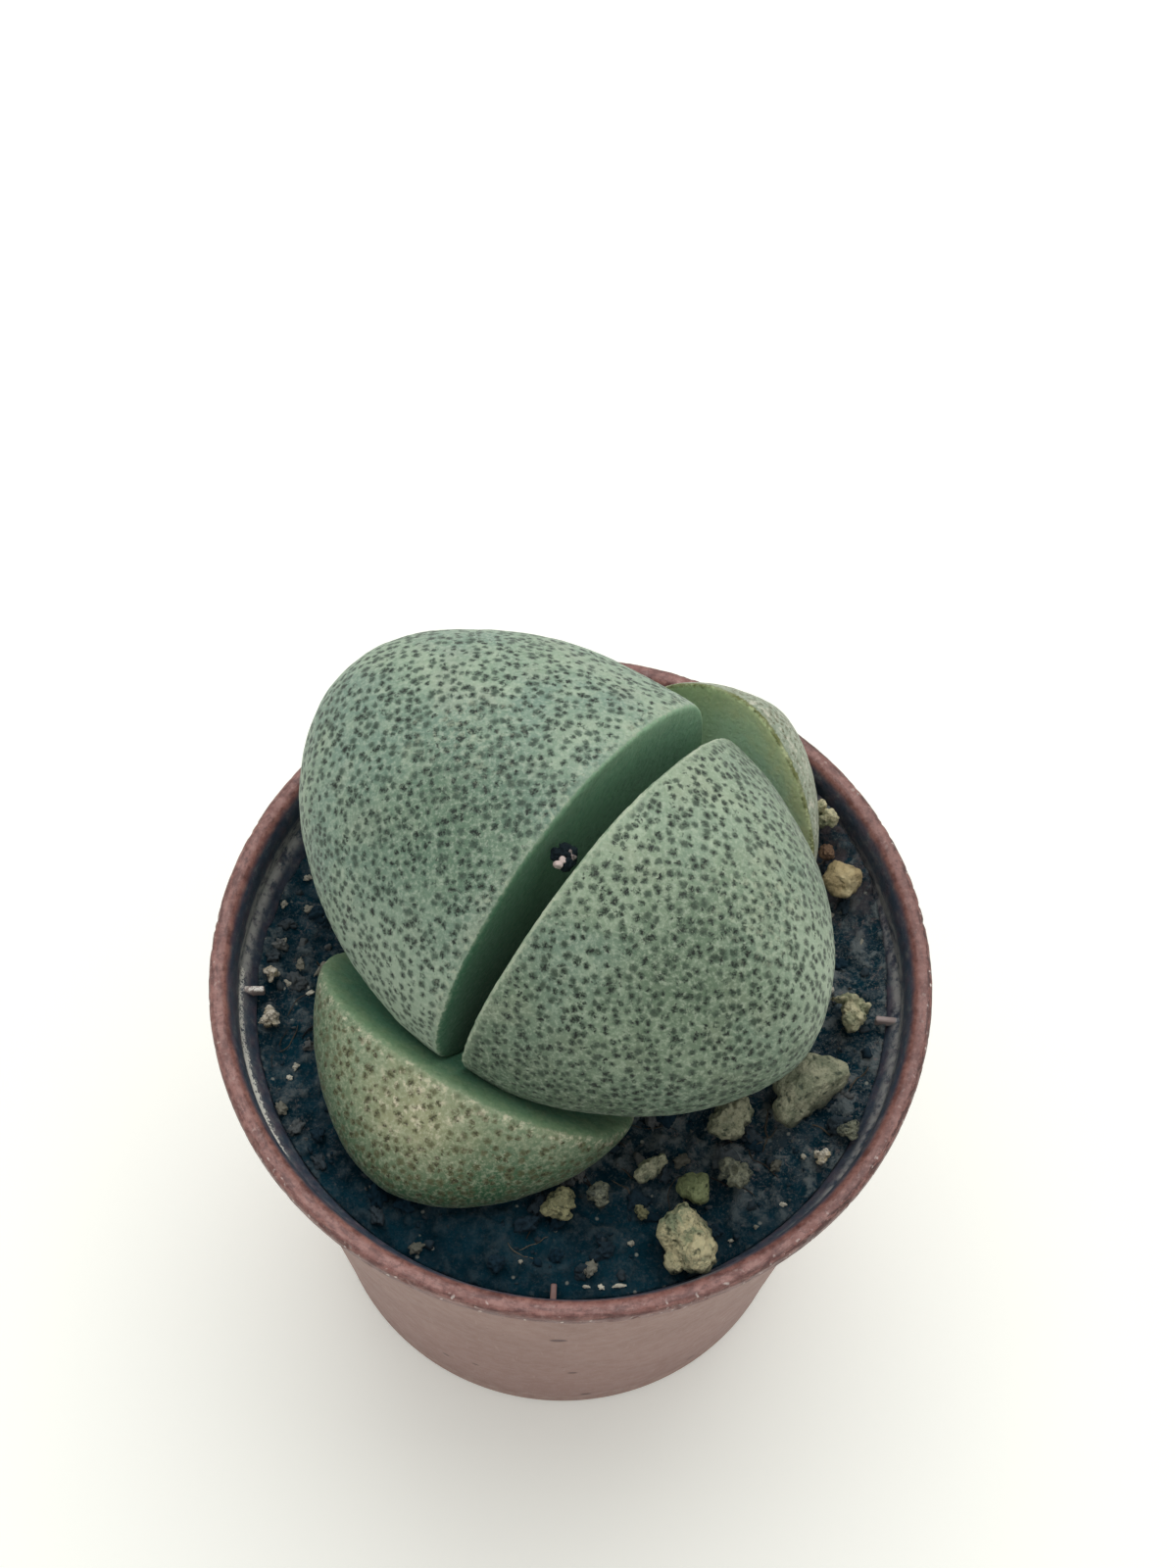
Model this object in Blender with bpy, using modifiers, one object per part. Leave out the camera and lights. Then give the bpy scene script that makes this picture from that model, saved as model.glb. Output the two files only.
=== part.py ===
"""Potted split rock: a Pleiospilos plant of two leaf pairs in a small round nursery pot.

The frame is Z up, with its origin at the centre of the pot's underside, on the surface it stands on.
Lengths are named in millimetres and become metres where a mesh is made, by MM.
A plant's leaf is one closed dome with a flat inner face; the crown under the cleft carries all four.
"""

import math
from collections import namedtuple

import bmesh
import bpy
from mathutils import Matrix, Vector, noise

MM = 0.001
GAP = 0.3               # clearance between pieces that touch
WELD = 0.02             # merge distance of turned profiles

# Pot: a thin moulded shell, with a stepped collar under a turned-out lip.
POT_HEIGHT = 48.0
LIP_RADIUS = 27.5
LIP_DEPTH = 1.4
LIP_WIDTH = 1.25
LIP_ROUND = 0.3
WALL = 0.6
COLLAR_RADIUS = 25.5    # inner wall between the lip and the ledge
COLLAR_SLANT = 0.2      # the collar opens by this much towards the lip
LEDGE_RADIUS = 24.35    # inner wall just under the ledge
LEDGE_TOP = 43.9
LEDGE_FOOT = 42.2
SHOULDER_DROP = (0.4, 0.6)  # the outer side of the ledge's two corners lies lower by this
BASE_RADIUS = 21.05
BASE_ROUND = 0.8
BASE_FILLET = 0.9       # chamfer between floor and wall inside
FOOT_WIDTH = 1.2
FOOT_SLANT = 0.2
FOOT_RECESS = 1.0
FLOOR_TOP = 2.0
DRAIN_RADIUS = 1.9
DRAIN_CIRCLE = 12.5
DRAIN_COUNT = 4
LUG_AZIMUTHS = (-3.5, 90.0, 183.9, -90.2)   # small ribs on the ledge that keep stacked pots from jamming
LUG_INNER = 24.0
LUG_ROOT = 0.1          # how far a rib is set into the wall
LUG_THICKNESS = 0.5
LUG_BOTTOM = 42.95
LUG_TOP = 44.1
POT_STEPS = 72
TOOL_STEPS = 24
TOOL_SPARE = 1.0        # how far a cutter reaches past what it cuts

# Soil plug, level with the foot of the ledge.
SOIL_TOP = 42.5
SOIL_CHAMFER = 1.0      # at the plug's lower edge
SOIL_RELIEF = 0.3
SOIL_WAVE = (5.2, 6.1, 4.3)     # lengths of the relief's waves along X, Y and the diagonal
SOIL_SHARE = 0.6        # part of the relief in the first two
SOIL_LEVEL_BAND = 4.0   # the relief dies out over this width beside the wall
BANK_AZIMUTH = 42.0     # soil heaped against the wall behind the older back leaf
BANK_SPREAD = 32.0
BANK_HEIGHT = 4.0
BANK_START = 20.0       # radius where the bank begins
BANK_CURVE = 1.5        # its slope steepens outward with this exponent
BANK_SEAT = 2.0         # the heaped soil touches the collar from this height on
SOIL_STEPS = 48
SOIL_RINGS = 8

# Crown and taproot, elongated along the cleft.
CROWN_CENTRE = (2.5, 4.7)
CROWN_AZIMUTH = 56.0
CROWN_HALF_LENGTH = 11.0
CROWN_HALF_WIDTH = 6.0
CROWN_LEVEL = 43.4
CROWN_RISE = 2.4
CROWN_STEPS = 32
ROOT_RADIUS = 3.4
ROOT_NECK = 40.0
ROOT_TIP_RADIUS = 0.7
ROOT_TIP = 17.0
ROOT_TIP_LENGTH = 0.5

# Leaves. facing: azimuth of the outer side; lean: how far the inner face tips back from upright;
# right and left: half widths of the inner face, seen from the cleft; bulge: thickness of the leaf;
# rise and depth: above and below the centre; corner and crest: exponents of the rounding in plan and
# upright, 1 for an ellipse; drift and lift: sideways and upward shift of the keel.
Leaf = namedtuple("Leaf", "centre facing lean right left bulge rise depth corner crest drift lift")
LEAVES = {
    "leaf_upper_left": Leaf((0.5, 3.5, 54.5), 145.1, 1.6, 16.9, 16.9, 23.7, 14.1, 8.2, 1.02, 1.09, 0.5, 4.0),
    "leaf_upper_right": Leaf((1.4, 1.9, 54.0), -35.8, 4.2, 15.4, 16.6, 19.3, 14.8, 8.4, 1.15, 1.10, 0.5, 4.0),
    "leaf_lower_front": Leaf((-5.7, -7.3, 46.9), -124., 44.4, 14.0, 11.6, 11.2, 8.9, 9.0, 1.13, .95, 0.7, 4.8),
    "leaf_lower_back": Leaf((10.8, 15.1, 47.9), 44.5, 14.1, 10.1, 10.2, 6.9, 10.8, 6.5, 1.35, 1.20, 0.5, 0.8),
}
LEAF_BELLY = 0.85       # crest exponent of the fuller half below the centre
LEAF_SEGMENTS = 40
LEAF_RINGS = 20
LEAF_EDGE = 0.25        # rounding of the edge between inner face and dome
LEAF_WELD = 0.8         # vertices closer than this are merged, so that the rounding fits

# Grit that lies on the soil: centre in plan, width, height, ruggedness, material.
Stone = namedtuple("Stone", "x y width height rough material")
STONES = {
    "pumice_front": Stone(9.7, -20.1, 5.6, 3.8, 0.20, "pumice"),
    "grit_green": Stone(9.8, -16.0, 2.9, 2.4, 0.14, "grit_green"),
    "grit_brown_large": Stone(18.6, -7.8, 6.4, 3.6, 0.20, "grit_brown"),
    "grit_brown_under_leaf": Stone(12.6, -10.4, 3.8, 2.8, 0.16, "grit_brown"),
    "grit_tan_rear": Stone(20.8, 9.2, 3.3, 2.6, 0.10, "grit_tan"),
    "pumice_rear": Stone(19.3, 14.2, 2.4, 2.2, 0.18, "pumice"),
    "grit_brown_rear": Stone(19.6, 11.9, 1.5, 1.3, 0.12, "grit_brown"),
    "grit_rough_right": Stone(21.5, -1.4, 3.5, 2.6, 0.20, "pumice"),
    "grit_front_left": Stone(-0.1, -17.9, 3.0, 2.5, 0.15, "grit_tan"),
    "grit_front_middle": Stone(2.8, -16.7, 2.1, 2.1, 0.16, "grit_grey"),
    "grit_middle": Stone(6.6, -14.4, 2.8, 2.3, 0.18, "grit_brown"),
    "grit_tan_small": Stone(6.1, -17.7, 1.3, 1.1, 0.10, "grit_tan"),
    "grit_grey": Stone(13.0, -14.7, 2.9, 2.2, 0.16, "grit_grey"),
    "perlite_right": Stone(19.4, -12.8, 1.4, 1.3, 0.15, "perlite"),
    "grit_right_edge": Stone(21.3, -10.6, 1.9, 1.6, 0.15, "grit_brown"),
    "perlite_left_rear": Stone(-23.2, -0.2, 1.6, 1.4, 0.18, "perlite"),
    "perlite_left_front": Stone(-22.9, -3.7, 1.9, 1.6, 0.20, "perlite"),
}
CRUMB = Stone(-0.9, -0.3, 2.1, 1.6, 0.15, "grit_grey")
CRUMB_HEIGHT = 65.0
FINE_STONE = 3.3        # from this width on, a stone has the finer mesh
STONE_GRAIN = 1.6       # lumps across a stone, and their strength for its ruggedness
STONE_CUT = 0.5         # a stone is cut flat below at this share of its half height
FOOT_SAMPLES = 8        # points round a stone's foot where the soil's height is read

# Material: colour, roughness, metallic.
MATERIALS = {
    "pot_plastic": ((0.27, 0.13, 0.11), 0.45, 0.0),
    "peat": ((0.012, 0.014, 0.018), 0.95, 0.0),
    "crown_skin": ((0.20, 0.17, 0.10), 0.80, 0.0),
    "leaf_skin": ((0.22, 0.31, 0.24), 0.60, 0.0),
    "leaf_skin_old": ((0.17, 0.24, 0.13), 0.60, 0.0),
    "pumice": ((0.42, 0.40, 0.30), 0.95, 0.0),
    "perlite": ((0.75, 0.72, 0.66), 0.95, 0.0),
    "grit_brown": ((0.20, 0.17, 0.12), 0.90, 0.0),
    "grit_tan": ((0.32, 0.27, 0.18), 0.85, 0.0),
    "grit_grey": ((0.08, 0.09, 0.09), 0.90, 0.0),
    "grit_green": ((0.13, 0.16, 0.10), 0.90, 0.0),
}
SMOOTH_ANGLE = math.radians(35)


def clear_scene():
    for old in list(bpy.data.objects):
        bpy.data.objects.remove(old, do_unlink=True)


def collection(name):
    group = bpy.data.collections.new(name)
    bpy.context.scene.collection.children.link(group)
    return group


def material(name):
    found = bpy.data.materials.get(name)
    if found:
        return found
    colour, roughness, metallic = MATERIALS[name]
    made = bpy.data.materials.new(name)
    made.use_nodes = True
    shader = made.node_tree.nodes["Principled BSDF"]
    shader.inputs["Base Color"].default_value = (*colour, 1.0)
    shader.inputs["Roughness"].default_value = roughness
    shader.inputs["Metallic"].default_value = metallic
    made.diffuse_color = (*colour, 1.0)
    return made


def add_object(name, mesh, group, slot=None):
    made = bpy.data.objects.new(name, mesh)
    group.objects.link(made)
    if slot:
        mesh.materials.clear()
        mesh.materials.append(material(slot))
        mesh.shade_smooth()
        mesh.set_sharp_from_angle(angle=SMOOTH_ANGLE)
    else:
        made.hide_render = True
        made.display_type = 'WIRE'
    return made


def mesh_from(name, bm):
    bmesh.ops.recalc_face_normals(bm, faces=bm.faces)
    if bm.calc_volume(signed=True) < 0:
        bmesh.ops.reverse_faces(bm, faces=bm.faces)
    mesh = bpy.data.meshes.new(name)
    bm.to_mesh(mesh)
    bm.free()
    return mesh


def turned(name, profile, steps, group, slot=None):
    """Turn a profile of (radius, height) points, drawn down the outer side, about Z."""
    mesh = bpy.data.meshes.new(name)
    closed = profile[0][0] > WELD
    count = len(profile)
    edges = [(i, (i + 1) % count) for i in range(count if closed else count - 1)]
    mesh.from_pydata([(r * MM, 0, z * MM) for r, z in profile], edges, [])
    made = add_object(name, mesh, group)
    screw = made.modifiers.new("turn", 'SCREW')
    screw.steps = screw.render_steps = steps
    screw.use_merge_vertices = True
    screw.merge_threshold = WELD * MM
    solid = evaluated(made)
    bpy.data.objects.remove(made, do_unlink=True)
    return add_object(name, solid, group, slot)


def evaluated(made):
    """The object's mesh with its modifiers carried out."""
    bpy.context.view_layer.update()
    graph = bpy.context.evaluated_depsgraph_get()
    return bpy.data.meshes.new_from_object(made.evaluated_get(graph))


def boolean(target, tool, operation):
    step = target.modifiers.new(tool.name, 'BOOLEAN')
    step.operation = operation
    step.solver = 'EXACT'
    step.object = tool


def arc(centre, radius, start, end, count):
    """Points of an arc in the (radius, height) plane, angles in degrees."""
    angles = [math.radians(start + (end - start) * i / count) for i in range(count + 1)]
    return [(centre[0] + radius * math.cos(a), centre[1] + radius * math.sin(a)) for a in angles]


def inner_wall(height):
    """Inner radius of the pot below the ledge."""
    share = (height - FLOOR_TOP) / (LEDGE_FOOT - FLOOR_TOP)
    base = BASE_RADIUS - WALL
    return base + (LEDGE_RADIUS - base) * share


def pot_profile():
    lip_bottom = POT_HEIGHT - LIP_DEPTH
    outer_top = arc((LIP_RADIUS - LIP_ROUND, POT_HEIGHT - LIP_ROUND), LIP_ROUND, 90, 0, 3)
    outer_low = arc((LIP_RADIUS - LIP_ROUND, lip_bottom + LIP_ROUND), LIP_ROUND, 0, -90, 3)
    collar = [(COLLAR_RADIUS + COLLAR_SLANT / 2 + WALL, lip_bottom)]
    shoulder = [(COLLAR_RADIUS + WALL, LEDGE_TOP - SHOULDER_DROP[0])]
    shoulder += [(LEDGE_RADIUS + WALL, LEDGE_FOOT - SHOULDER_DROP[1])]
    toe = arc((BASE_RADIUS - BASE_ROUND, BASE_ROUND), BASE_ROUND, -5, -90, 4)
    foot_inner = BASE_RADIUS - BASE_ROUND - FOOT_WIDTH
    underside = [(foot_inner, 0), (foot_inner - FOOT_SLANT, FOOT_RECESS), (DRAIN_RADIUS, FOOT_RECESS)]
    corner = FLOOR_TOP + BASE_FILLET
    floor = [(DRAIN_RADIUS, FLOOR_TOP), (inner_wall(FLOOR_TOP) - BASE_FILLET, FLOOR_TOP)]
    inside = [(inner_wall(corner), corner), (LEDGE_RADIUS, LEDGE_FOOT), (COLLAR_RADIUS, LEDGE_TOP)]
    mouth = [(COLLAR_RADIUS + COLLAR_SLANT, lip_bottom), (LIP_RADIUS - LIP_WIDTH, POT_HEIGHT)]
    return outer_top + outer_low + collar + shoulder + toe + underside + floor + inside + mouth


def cylinder_tool(name, x, y, radius, low, high, group):
    bm = bmesh.new()
    bmesh.ops.create_cone(bm, cap_ends=True, segments=TOOL_STEPS, radius1=radius * MM,
                          radius2=radius * MM, depth=(high - low) * MM)
    bmesh.ops.translate(bm, verts=bm.verts, vec=Vector((x, y, (low + high) / 2)) * MM)
    return add_object(name, mesh_from(name, bm), group)


def box_tool(name, size, centre, turn, group):
    bm = bmesh.new()
    bmesh.ops.create_cube(bm, size=1)
    bmesh.ops.scale(bm, verts=bm.verts, vec=Vector(size) * MM)
    bmesh.ops.translate(bm, verts=bm.verts, vec=Vector(centre) * MM)
    bmesh.ops.rotate(bm, verts=bm.verts, cent=(0, 0, 0), matrix=Matrix.Rotation(turn, 3, 'Z'))
    return add_object(name, mesh_from(name, bm), group)


def make_pot(parts, tools):
    pot = turned("pot", pot_profile(), POT_STEPS, parts, "pot_plastic")
    for i in range(DRAIN_COUNT):
        angle = math.tau * (i + 0.5) / DRAIN_COUNT
        x, y = DRAIN_CIRCLE * math.cos(angle), DRAIN_CIRCLE * math.sin(angle)
        hole = cylinder_tool(f"drain_tool_{i + 1}", x, y, DRAIN_RADIUS, -TOOL_SPARE,
                             FLOOR_TOP + TOOL_SPARE, tools)
        boolean(pot, hole, 'DIFFERENCE')
    reach = COLLAR_RADIUS + LUG_ROOT - LUG_INNER
    for i, azimuth in enumerate(LUG_AZIMUTHS):
        size = (reach, LUG_THICKNESS, LUG_TOP - LUG_BOTTOM)
        centre = (LUG_INNER + reach / 2, 0, (LUG_TOP + LUG_BOTTOM) / 2)
        lug = box_tool(f"lug_tool_{i + 1}", size, centre, math.radians(azimuth), tools)
        boolean(pot, lug, 'UNION')
    return pot


def clamped(share):
    return min(1.0, max(0.0, share))


def soil_height(x, y):
    """Height of the soil's surface: gently uneven, level beside the wall but for the bank."""
    across = math.sin(x / SOIL_WAVE[0]) * math.cos(y / SOIL_WAVE[1])
    wave = SOIL_SHARE * across + (1 - SOIL_SHARE) * math.sin((x + y) / SOIL_WAVE[2])
    radius = math.hypot(x, y)
    fade = clamped((LEDGE_RADIUS - SOIL_CHAMFER - radius) / SOIL_LEVEL_BAND)
    climb = clamped((radius - BANK_START) / (COLLAR_RADIUS - BANK_START))
    away = math.degrees(math.atan2(y, x)) - BANK_AZIMUTH
    bank = BANK_HEIGHT * climb ** BANK_CURVE * math.exp(-(away / BANK_SPREAD) ** 2)
    return SOIL_TOP + SOIL_RELIEF * wave * fade + bank


def make_soil(name, rise, group, slot=None):
    """Soil plug with its surface raised by rise; where the bank climbs, it reaches out to the collar."""
    rim = inner_wall(LEDGE_FOOT) - GAP
    top = [(rim * i / SOIL_RINGS, SOIL_TOP) for i in range(SOIL_RINGS + 1)]
    low = FLOOR_TOP + GAP
    side = low + SOIL_CHAMFER
    foot = [(rim, LEDGE_FOOT), (inner_wall(side) - GAP, side)]
    foot += [(inner_wall(low) - GAP - SOIL_CHAMFER, low), (0, low)]
    soil = turned(name, top + foot, SOIL_STEPS, group, slot)
    widest = (COLLAR_RADIUS - GAP) / rim
    for vert in soil.data.vertices:
        x, y, z = vert.co / MM
        if z < SOIL_TOP - WELD:
            continue
        height = soil_height(x, y)
        if math.hypot(x, y) > rim - WELD:
            spread = 1 + (widest - 1) * clamped((height - SOIL_TOP) / BANK_SEAT)
            vert.co.x *= spread
            vert.co.y *= spread
        vert.co.z = (height + rise) * MM
    return soil


def make_crown(name, grow, group, slot=None):
    """Squat stem, longer along the cleft, that runs down into one taproot."""
    profile = arc((0, 0), 1, 90, -45, 9)
    width = CROWN_HALF_WIDTH + grow
    stretch = (CROWN_HALF_LENGTH + grow) / width
    points = [(max(0.0, r) * width, CROWN_LEVEL + z * (CROWN_RISE + grow)) for r, z in profile]
    points += [(ROOT_RADIUS + grow, ROOT_NECK)]
    points += [((ROOT_RADIUS + ROOT_TIP_RADIUS) / 2 + grow, (ROOT_NECK + ROOT_TIP) / 2)]
    points += [(ROOT_TIP_RADIUS + grow, ROOT_TIP + ROOT_TIP_LENGTH), (0, ROOT_TIP - grow)]
    crown = turned(name, points, CROWN_STEPS, group, slot)
    for vert in crown.data.vertices:
        share = clamped((vert.co.z / MM - ROOT_NECK) / (CROWN_LEVEL - ROOT_NECK))
        vert.co.x *= 1 + (stretch - 1) * share
    crown.location = Vector((*CROWN_CENTRE, 0)) * MM
    crown.rotation_euler.z = math.radians(CROWN_AZIMUTH)
    return crown


def signed_power(value, exponent):
    return math.copysign(abs(value) ** exponent, value)


def leaf_point(leaf, direction):
    """Where a point of the unit sphere goes on the leaf: X along the face, Y outward, Z up."""
    level = math.hypot(direction.x, direction.y)
    turn = math.atan2(direction.y, direction.x)
    crest = leaf.crest if direction.z > 0 else LEAF_BELLY
    ring = level ** crest
    x = signed_power(math.cos(turn), leaf.corner) * ring
    y = signed_power(math.sin(turn), leaf.corner) * ring
    z = signed_power(direction.z, crest)
    x *= leaf.right if x > 0 else leaf.left
    y *= leaf.bulge
    z *= leaf.rise if z > 0 else leaf.depth
    keel = (y / leaf.bulge) ** 2
    return Vector((x + leaf.drift * keel, y, z + leaf.lift * keel)) * MM


def cut_flat(bm, point, normal):
    """Cut the mesh by a plane, drop what lies on the normal's side and close the cut."""
    everything = list(bm.verts) + list(bm.edges) + list(bm.faces)
    cut = bmesh.ops.bisect_plane(bm, geom=everything, dist=WELD * MM, plane_co=point,
                                 plane_no=normal, clear_outer=True)
    rim = [e for e in cut["geom_cut"] if isinstance(e, bmesh.types.BMEdge)]
    bmesh.ops.contextual_create(bm, geom=rim)
    return rim


def make_leaf(name, leaf, tools, parts):
    bm = bmesh.new()
    bmesh.ops.create_uvsphere(bm, u_segments=LEAF_SEGMENTS, v_segments=LEAF_RINGS, radius=1)
    for vert in bm.verts:
        vert.co = leaf_point(leaf, vert.co)
    bmesh.ops.remove_doubles(bm, verts=bm.verts, dist=LEAF_WELD * MM)
    place = (Matrix.Translation(Vector(leaf.centre) * MM)
             @ Matrix.Rotation(math.radians(leaf.facing - 90), 4, 'Z')
             @ Matrix.Rotation(math.radians(-leaf.lean), 4, 'X'))
    rim = cut_flat(bm, Vector((0, 0, 0)), Vector((0, -1, 0)))
    bmesh.ops.bevel(bm, geom=rim, offset=LEAF_EDGE * MM, segments=2, profile=0.5, affect='EDGES')
    slot = "leaf_skin_old" if "lower" in name else "leaf_skin"
    made = add_object(name, mesh_from(name, bm), parts, slot)
    made.matrix_world = place
    for tool in tools:
        boolean(made, tool, 'DIFFERENCE')
    return made


def stone_mesh(name, stone, seed):
    bm = bmesh.new()
    bmesh.ops.create_icosphere(bm, subdivisions=3 if stone.width >= FINE_STONE else 2, radius=1)
    shift = Vector((seed * 3.7, seed * 1.9, seed * 5.3))
    for vert in bm.verts:
        lump = noise.noise(vert.co * STONE_GRAIN + shift)
        vert.co *= 1 + stone.rough * STONE_GRAIN * lump
    reach = max(math.hypot(v.co.x, v.co.y) for v in bm.verts)
    top = max(v.co.z for v in bm.verts)
    bed = Vector((0, 0, -STONE_CUT * top))
    cut_flat(bm, bed, Vector((0, 0, -1)))
    bmesh.ops.translate(bm, verts=bm.verts, vec=-bed)
    flat = stone.width / 2 / reach
    tall = stone.height / (top + STONE_CUT * top)
    bmesh.ops.scale(bm, verts=bm.verts, vec=Vector((flat, flat, tall)) * MM)
    return mesh_from(name, bm)


def make_stone(name, stone, seed, parts):
    """A grain cut flat below, that lies on the highest soil under its foot."""
    made = add_object(name, stone_mesh(name, stone, seed), parts, stone.material)
    half = stone.width / 2
    around = [math.tau * i / FOOT_SAMPLES for i in range(FOOT_SAMPLES)]
    foot = [(stone.x + half * math.cos(a), stone.y + half * math.sin(a)) for a in around]
    seat = max(soil_height(x, y) for x, y in foot + [(stone.x, stone.y)]) + GAP
    made.location = Vector((stone.x, stone.y, seat)) * MM
    return made


def build():
    clear_scene()
    parts = collection("potted_split_rock")
    tools = collection("cutters")
    make_pot(parts, tools)
    soil = make_soil("soil", 0, parts, "peat")
    make_crown("crown_and_taproot", 0, parts, "crown_skin")
    socket = make_crown("crown_socket", GAP, tools)
    bed = make_soil("soil_bed", GAP, tools)
    boolean(soil, socket, 'DIFFERENCE')
    for name, leaf in LEAVES.items():
        make_leaf(name, leaf, [socket, bed] if "lower" in name else [socket], parts)
    for seed, (name, stone) in enumerate(STONES.items()):
        make_stone(name, stone, seed, parts)
    crumb = make_stone("crumb_in_cleft", CRUMB, len(STONES), parts)
    crumb.location.z = CRUMB_HEIGHT * MM


build()
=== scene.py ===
"""Looks of the potted split rock: leaves with a dotted skin, peat and grit, and a scuffed plastic pot.

Meshes are built in millimetres in the CAD frame and become metres in publish(). Each fine piece that stands
for a CAD node is fitted to that node's box.
"""

import math
from collections import namedtuple

import bmesh
import bpy
import numpy as np
from mathutils import Matrix, Vector, noise


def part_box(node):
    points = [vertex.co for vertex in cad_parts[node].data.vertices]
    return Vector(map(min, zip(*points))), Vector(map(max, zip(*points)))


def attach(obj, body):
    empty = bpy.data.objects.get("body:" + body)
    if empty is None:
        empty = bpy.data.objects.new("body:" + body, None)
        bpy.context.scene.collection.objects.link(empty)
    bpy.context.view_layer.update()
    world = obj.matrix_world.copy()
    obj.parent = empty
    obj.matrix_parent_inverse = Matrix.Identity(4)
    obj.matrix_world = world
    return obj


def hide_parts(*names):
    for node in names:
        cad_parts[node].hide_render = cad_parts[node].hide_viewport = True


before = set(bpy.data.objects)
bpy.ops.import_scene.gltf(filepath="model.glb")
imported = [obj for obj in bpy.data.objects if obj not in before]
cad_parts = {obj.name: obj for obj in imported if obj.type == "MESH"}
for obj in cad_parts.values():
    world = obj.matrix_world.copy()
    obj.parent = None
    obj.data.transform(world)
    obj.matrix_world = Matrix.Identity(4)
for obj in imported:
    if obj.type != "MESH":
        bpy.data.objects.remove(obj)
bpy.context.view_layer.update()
MM = 0.001
SEED = 20
draw = np.random.default_rng(SEED)


# ---- materials

def rgb(red, green, blue):
    """A colour of 0 to 255 as seen, in the linear values that a shader takes."""
    def linear(value):
        value /= 255
        return value / 12.92 if value <= 0.04045 else ((value + 0.055) / 1.055) ** 2.4
    return (linear(red), linear(green), linear(blue), 1)


RGBA_INPUTS, RGBA_RESULT = (0, 6, 7), 2     # sockets of a Mix node that mixes colours
CENTRED = (0.5, 0.5, 0.5)                   # the mean of coloured noise


class Graph:
    """One procedural material: each call adds a node and returns the socket to use next."""

    def __init__(self, name, **inputs):
        self.material = bpy.data.materials.new(name)
        self.material.use_nodes = True
        self.tree = self.material.node_tree
        self.shader = self.tree.nodes["Principled BSDF"]
        self.set(**inputs)
        place = self.node("TexCoord").outputs["Object"]
        self.mm = self.vector("SCALE", place, scale=1 / MM)

    def set(self, **inputs):
        for key, value in inputs.items():
            self.feed(self.shader.inputs[key.replace("_", " ")], value)

    def node(self, kind, **settings):
        made = self.tree.nodes.new("ShaderNode" + kind)
        for key, value in settings.items():
            setattr(made, key, value)
        return made

    def feed(self, socket, value):
        if isinstance(value, bpy.types.NodeSocket):
            self.tree.links.new(value, socket)
        else:
            socket.default_value = value

    def wired(self, made, *values):
        """Feeds a node's inputs in their order, and returns the node."""
        for socket, value in zip(made.inputs, values):
            self.feed(socket, value)
        return made

    def math(self, operation, *values):
        return self.wired(self.node("Math", operation=operation), *values).outputs[0]

    def times(self, value, *factors):
        for factor in factors:
            value = self.math("MULTIPLY", value, factor)
        return value

    def plus(self, first, second):
        return self.math("ADD", first, second)

    def minus(self, first, second):
        return self.math("SUBTRACT", first, second)

    def highest(self, first, second):
        return self.math("MAXIMUM", first, second)

    def times_plus(self, value, factor, more):
        return self.math("MULTIPLY_ADD", value, factor, more)

    def nudged(self, value, noise, amount):
        """The value moved up and down by noise, which is about 0.5."""
        return self.times_plus(self.minus(noise, 0.5), amount, value)

    def vector(self, operation, *values, scale=None):
        made = self.wired(self.node("VectorMath", operation=operation), *values)
        if scale is not None:
            self.feed(made.inputs["Scale"], scale)
        return made.outputs["Value" if operation in ("DOT_PRODUCT", "LENGTH", "DISTANCE") else "Vector"]

    def distance(self, place):
        return self.vector("DISTANCE", self.mm, place)

    def upright(self, value):
        """A vector along Z."""
        made = self.node("CombineXYZ")
        self.feed(made.inputs["Z"], value)
        return made.outputs[0]

    def split(self, vector):
        return self.wired(self.node("SeparateXYZ"), vector).outputs

    def attribute(self, name):
        return self.node("Attribute", attribute_name=name).outputs["Fac"]

    def mix(self, share, first, second):
        made = self.node("Mix", data_type="RGBA", blend_type="MIX")
        for index, value in zip(RGBA_INPUTS, (share, first, second)):
            self.feed(made.inputs[index], value)
        return made.outputs[RGBA_RESULT]

    def texture(self, kind, place, **inputs):
        made = self.node("Tex" + kind)
        self.feed(made.inputs["Vector"], place or self.mm)
        for key, value in inputs.items():
            self.feed(made.inputs[key], value)
        return made.outputs

    def noise(self, scale, detail=2, rough=0.5, place=None, colour=False):
        made = self.texture("Noise", place, Scale=scale, Detail=detail, Roughness=rough)
        return made["Color" if colour else 0]

    def cells(self, scale, randomness=1, place=None):
        return self.texture("Voronoi", place, Scale=scale, Randomness=randomness)

    def shaken(self, amount, *noise):
        """The place in millimetres, moved about by coloured noise."""
        push = self.vector("SCALE", self.noise(*noise, colour=True), scale=amount)
        return self.vector("ADD", self.mm, push)

    def span(self, value, low, high, start, end):
        """Smooth change from start to end while value goes from low to high."""
        made = self.node("MapRange", interpolation_type="SMOOTHSTEP")
        return self.wired(made, value, low, high, start, end).outputs[0]

    def rise(self, value, low, high, share=1):
        return self.span(value, low, high, 0, share)

    def fall(self, value, low, high, share=1):
        return self.span(value, low, high, share, 0)

    def band(self, value, centre, near, far, share=1):
        """Share where value is within near of centre, and nothing from far on."""
        return self.fall(self.math("ABSOLUTE", self.minus(value, centre)), near, far, share)

    def base(self, first, second, share):
        """Begins a colour: two tones of 0 to 255, mixed by share."""
        self.colour = self.mix(share, rgb(*first), rgb(*second))

    def coat(self, tone, *shares):
        """Lays a tone over the colour so far, by the product of the shares."""
        self.colour = self.mix(self.times(*shares), self.colour, rgb(*tone))

    def done(self, relief, depth):
        """The finished material. Its relief has the given depth in millimetres where relief is 0 to 1."""
        made = self.node("Bump")
        self.feed(made.inputs["Distance"], depth * MM)
        self.feed(made.inputs["Height"], relief)
        self.set(Base_Color=self.colour, Normal=made.outputs[0])
        return self.material


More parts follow.
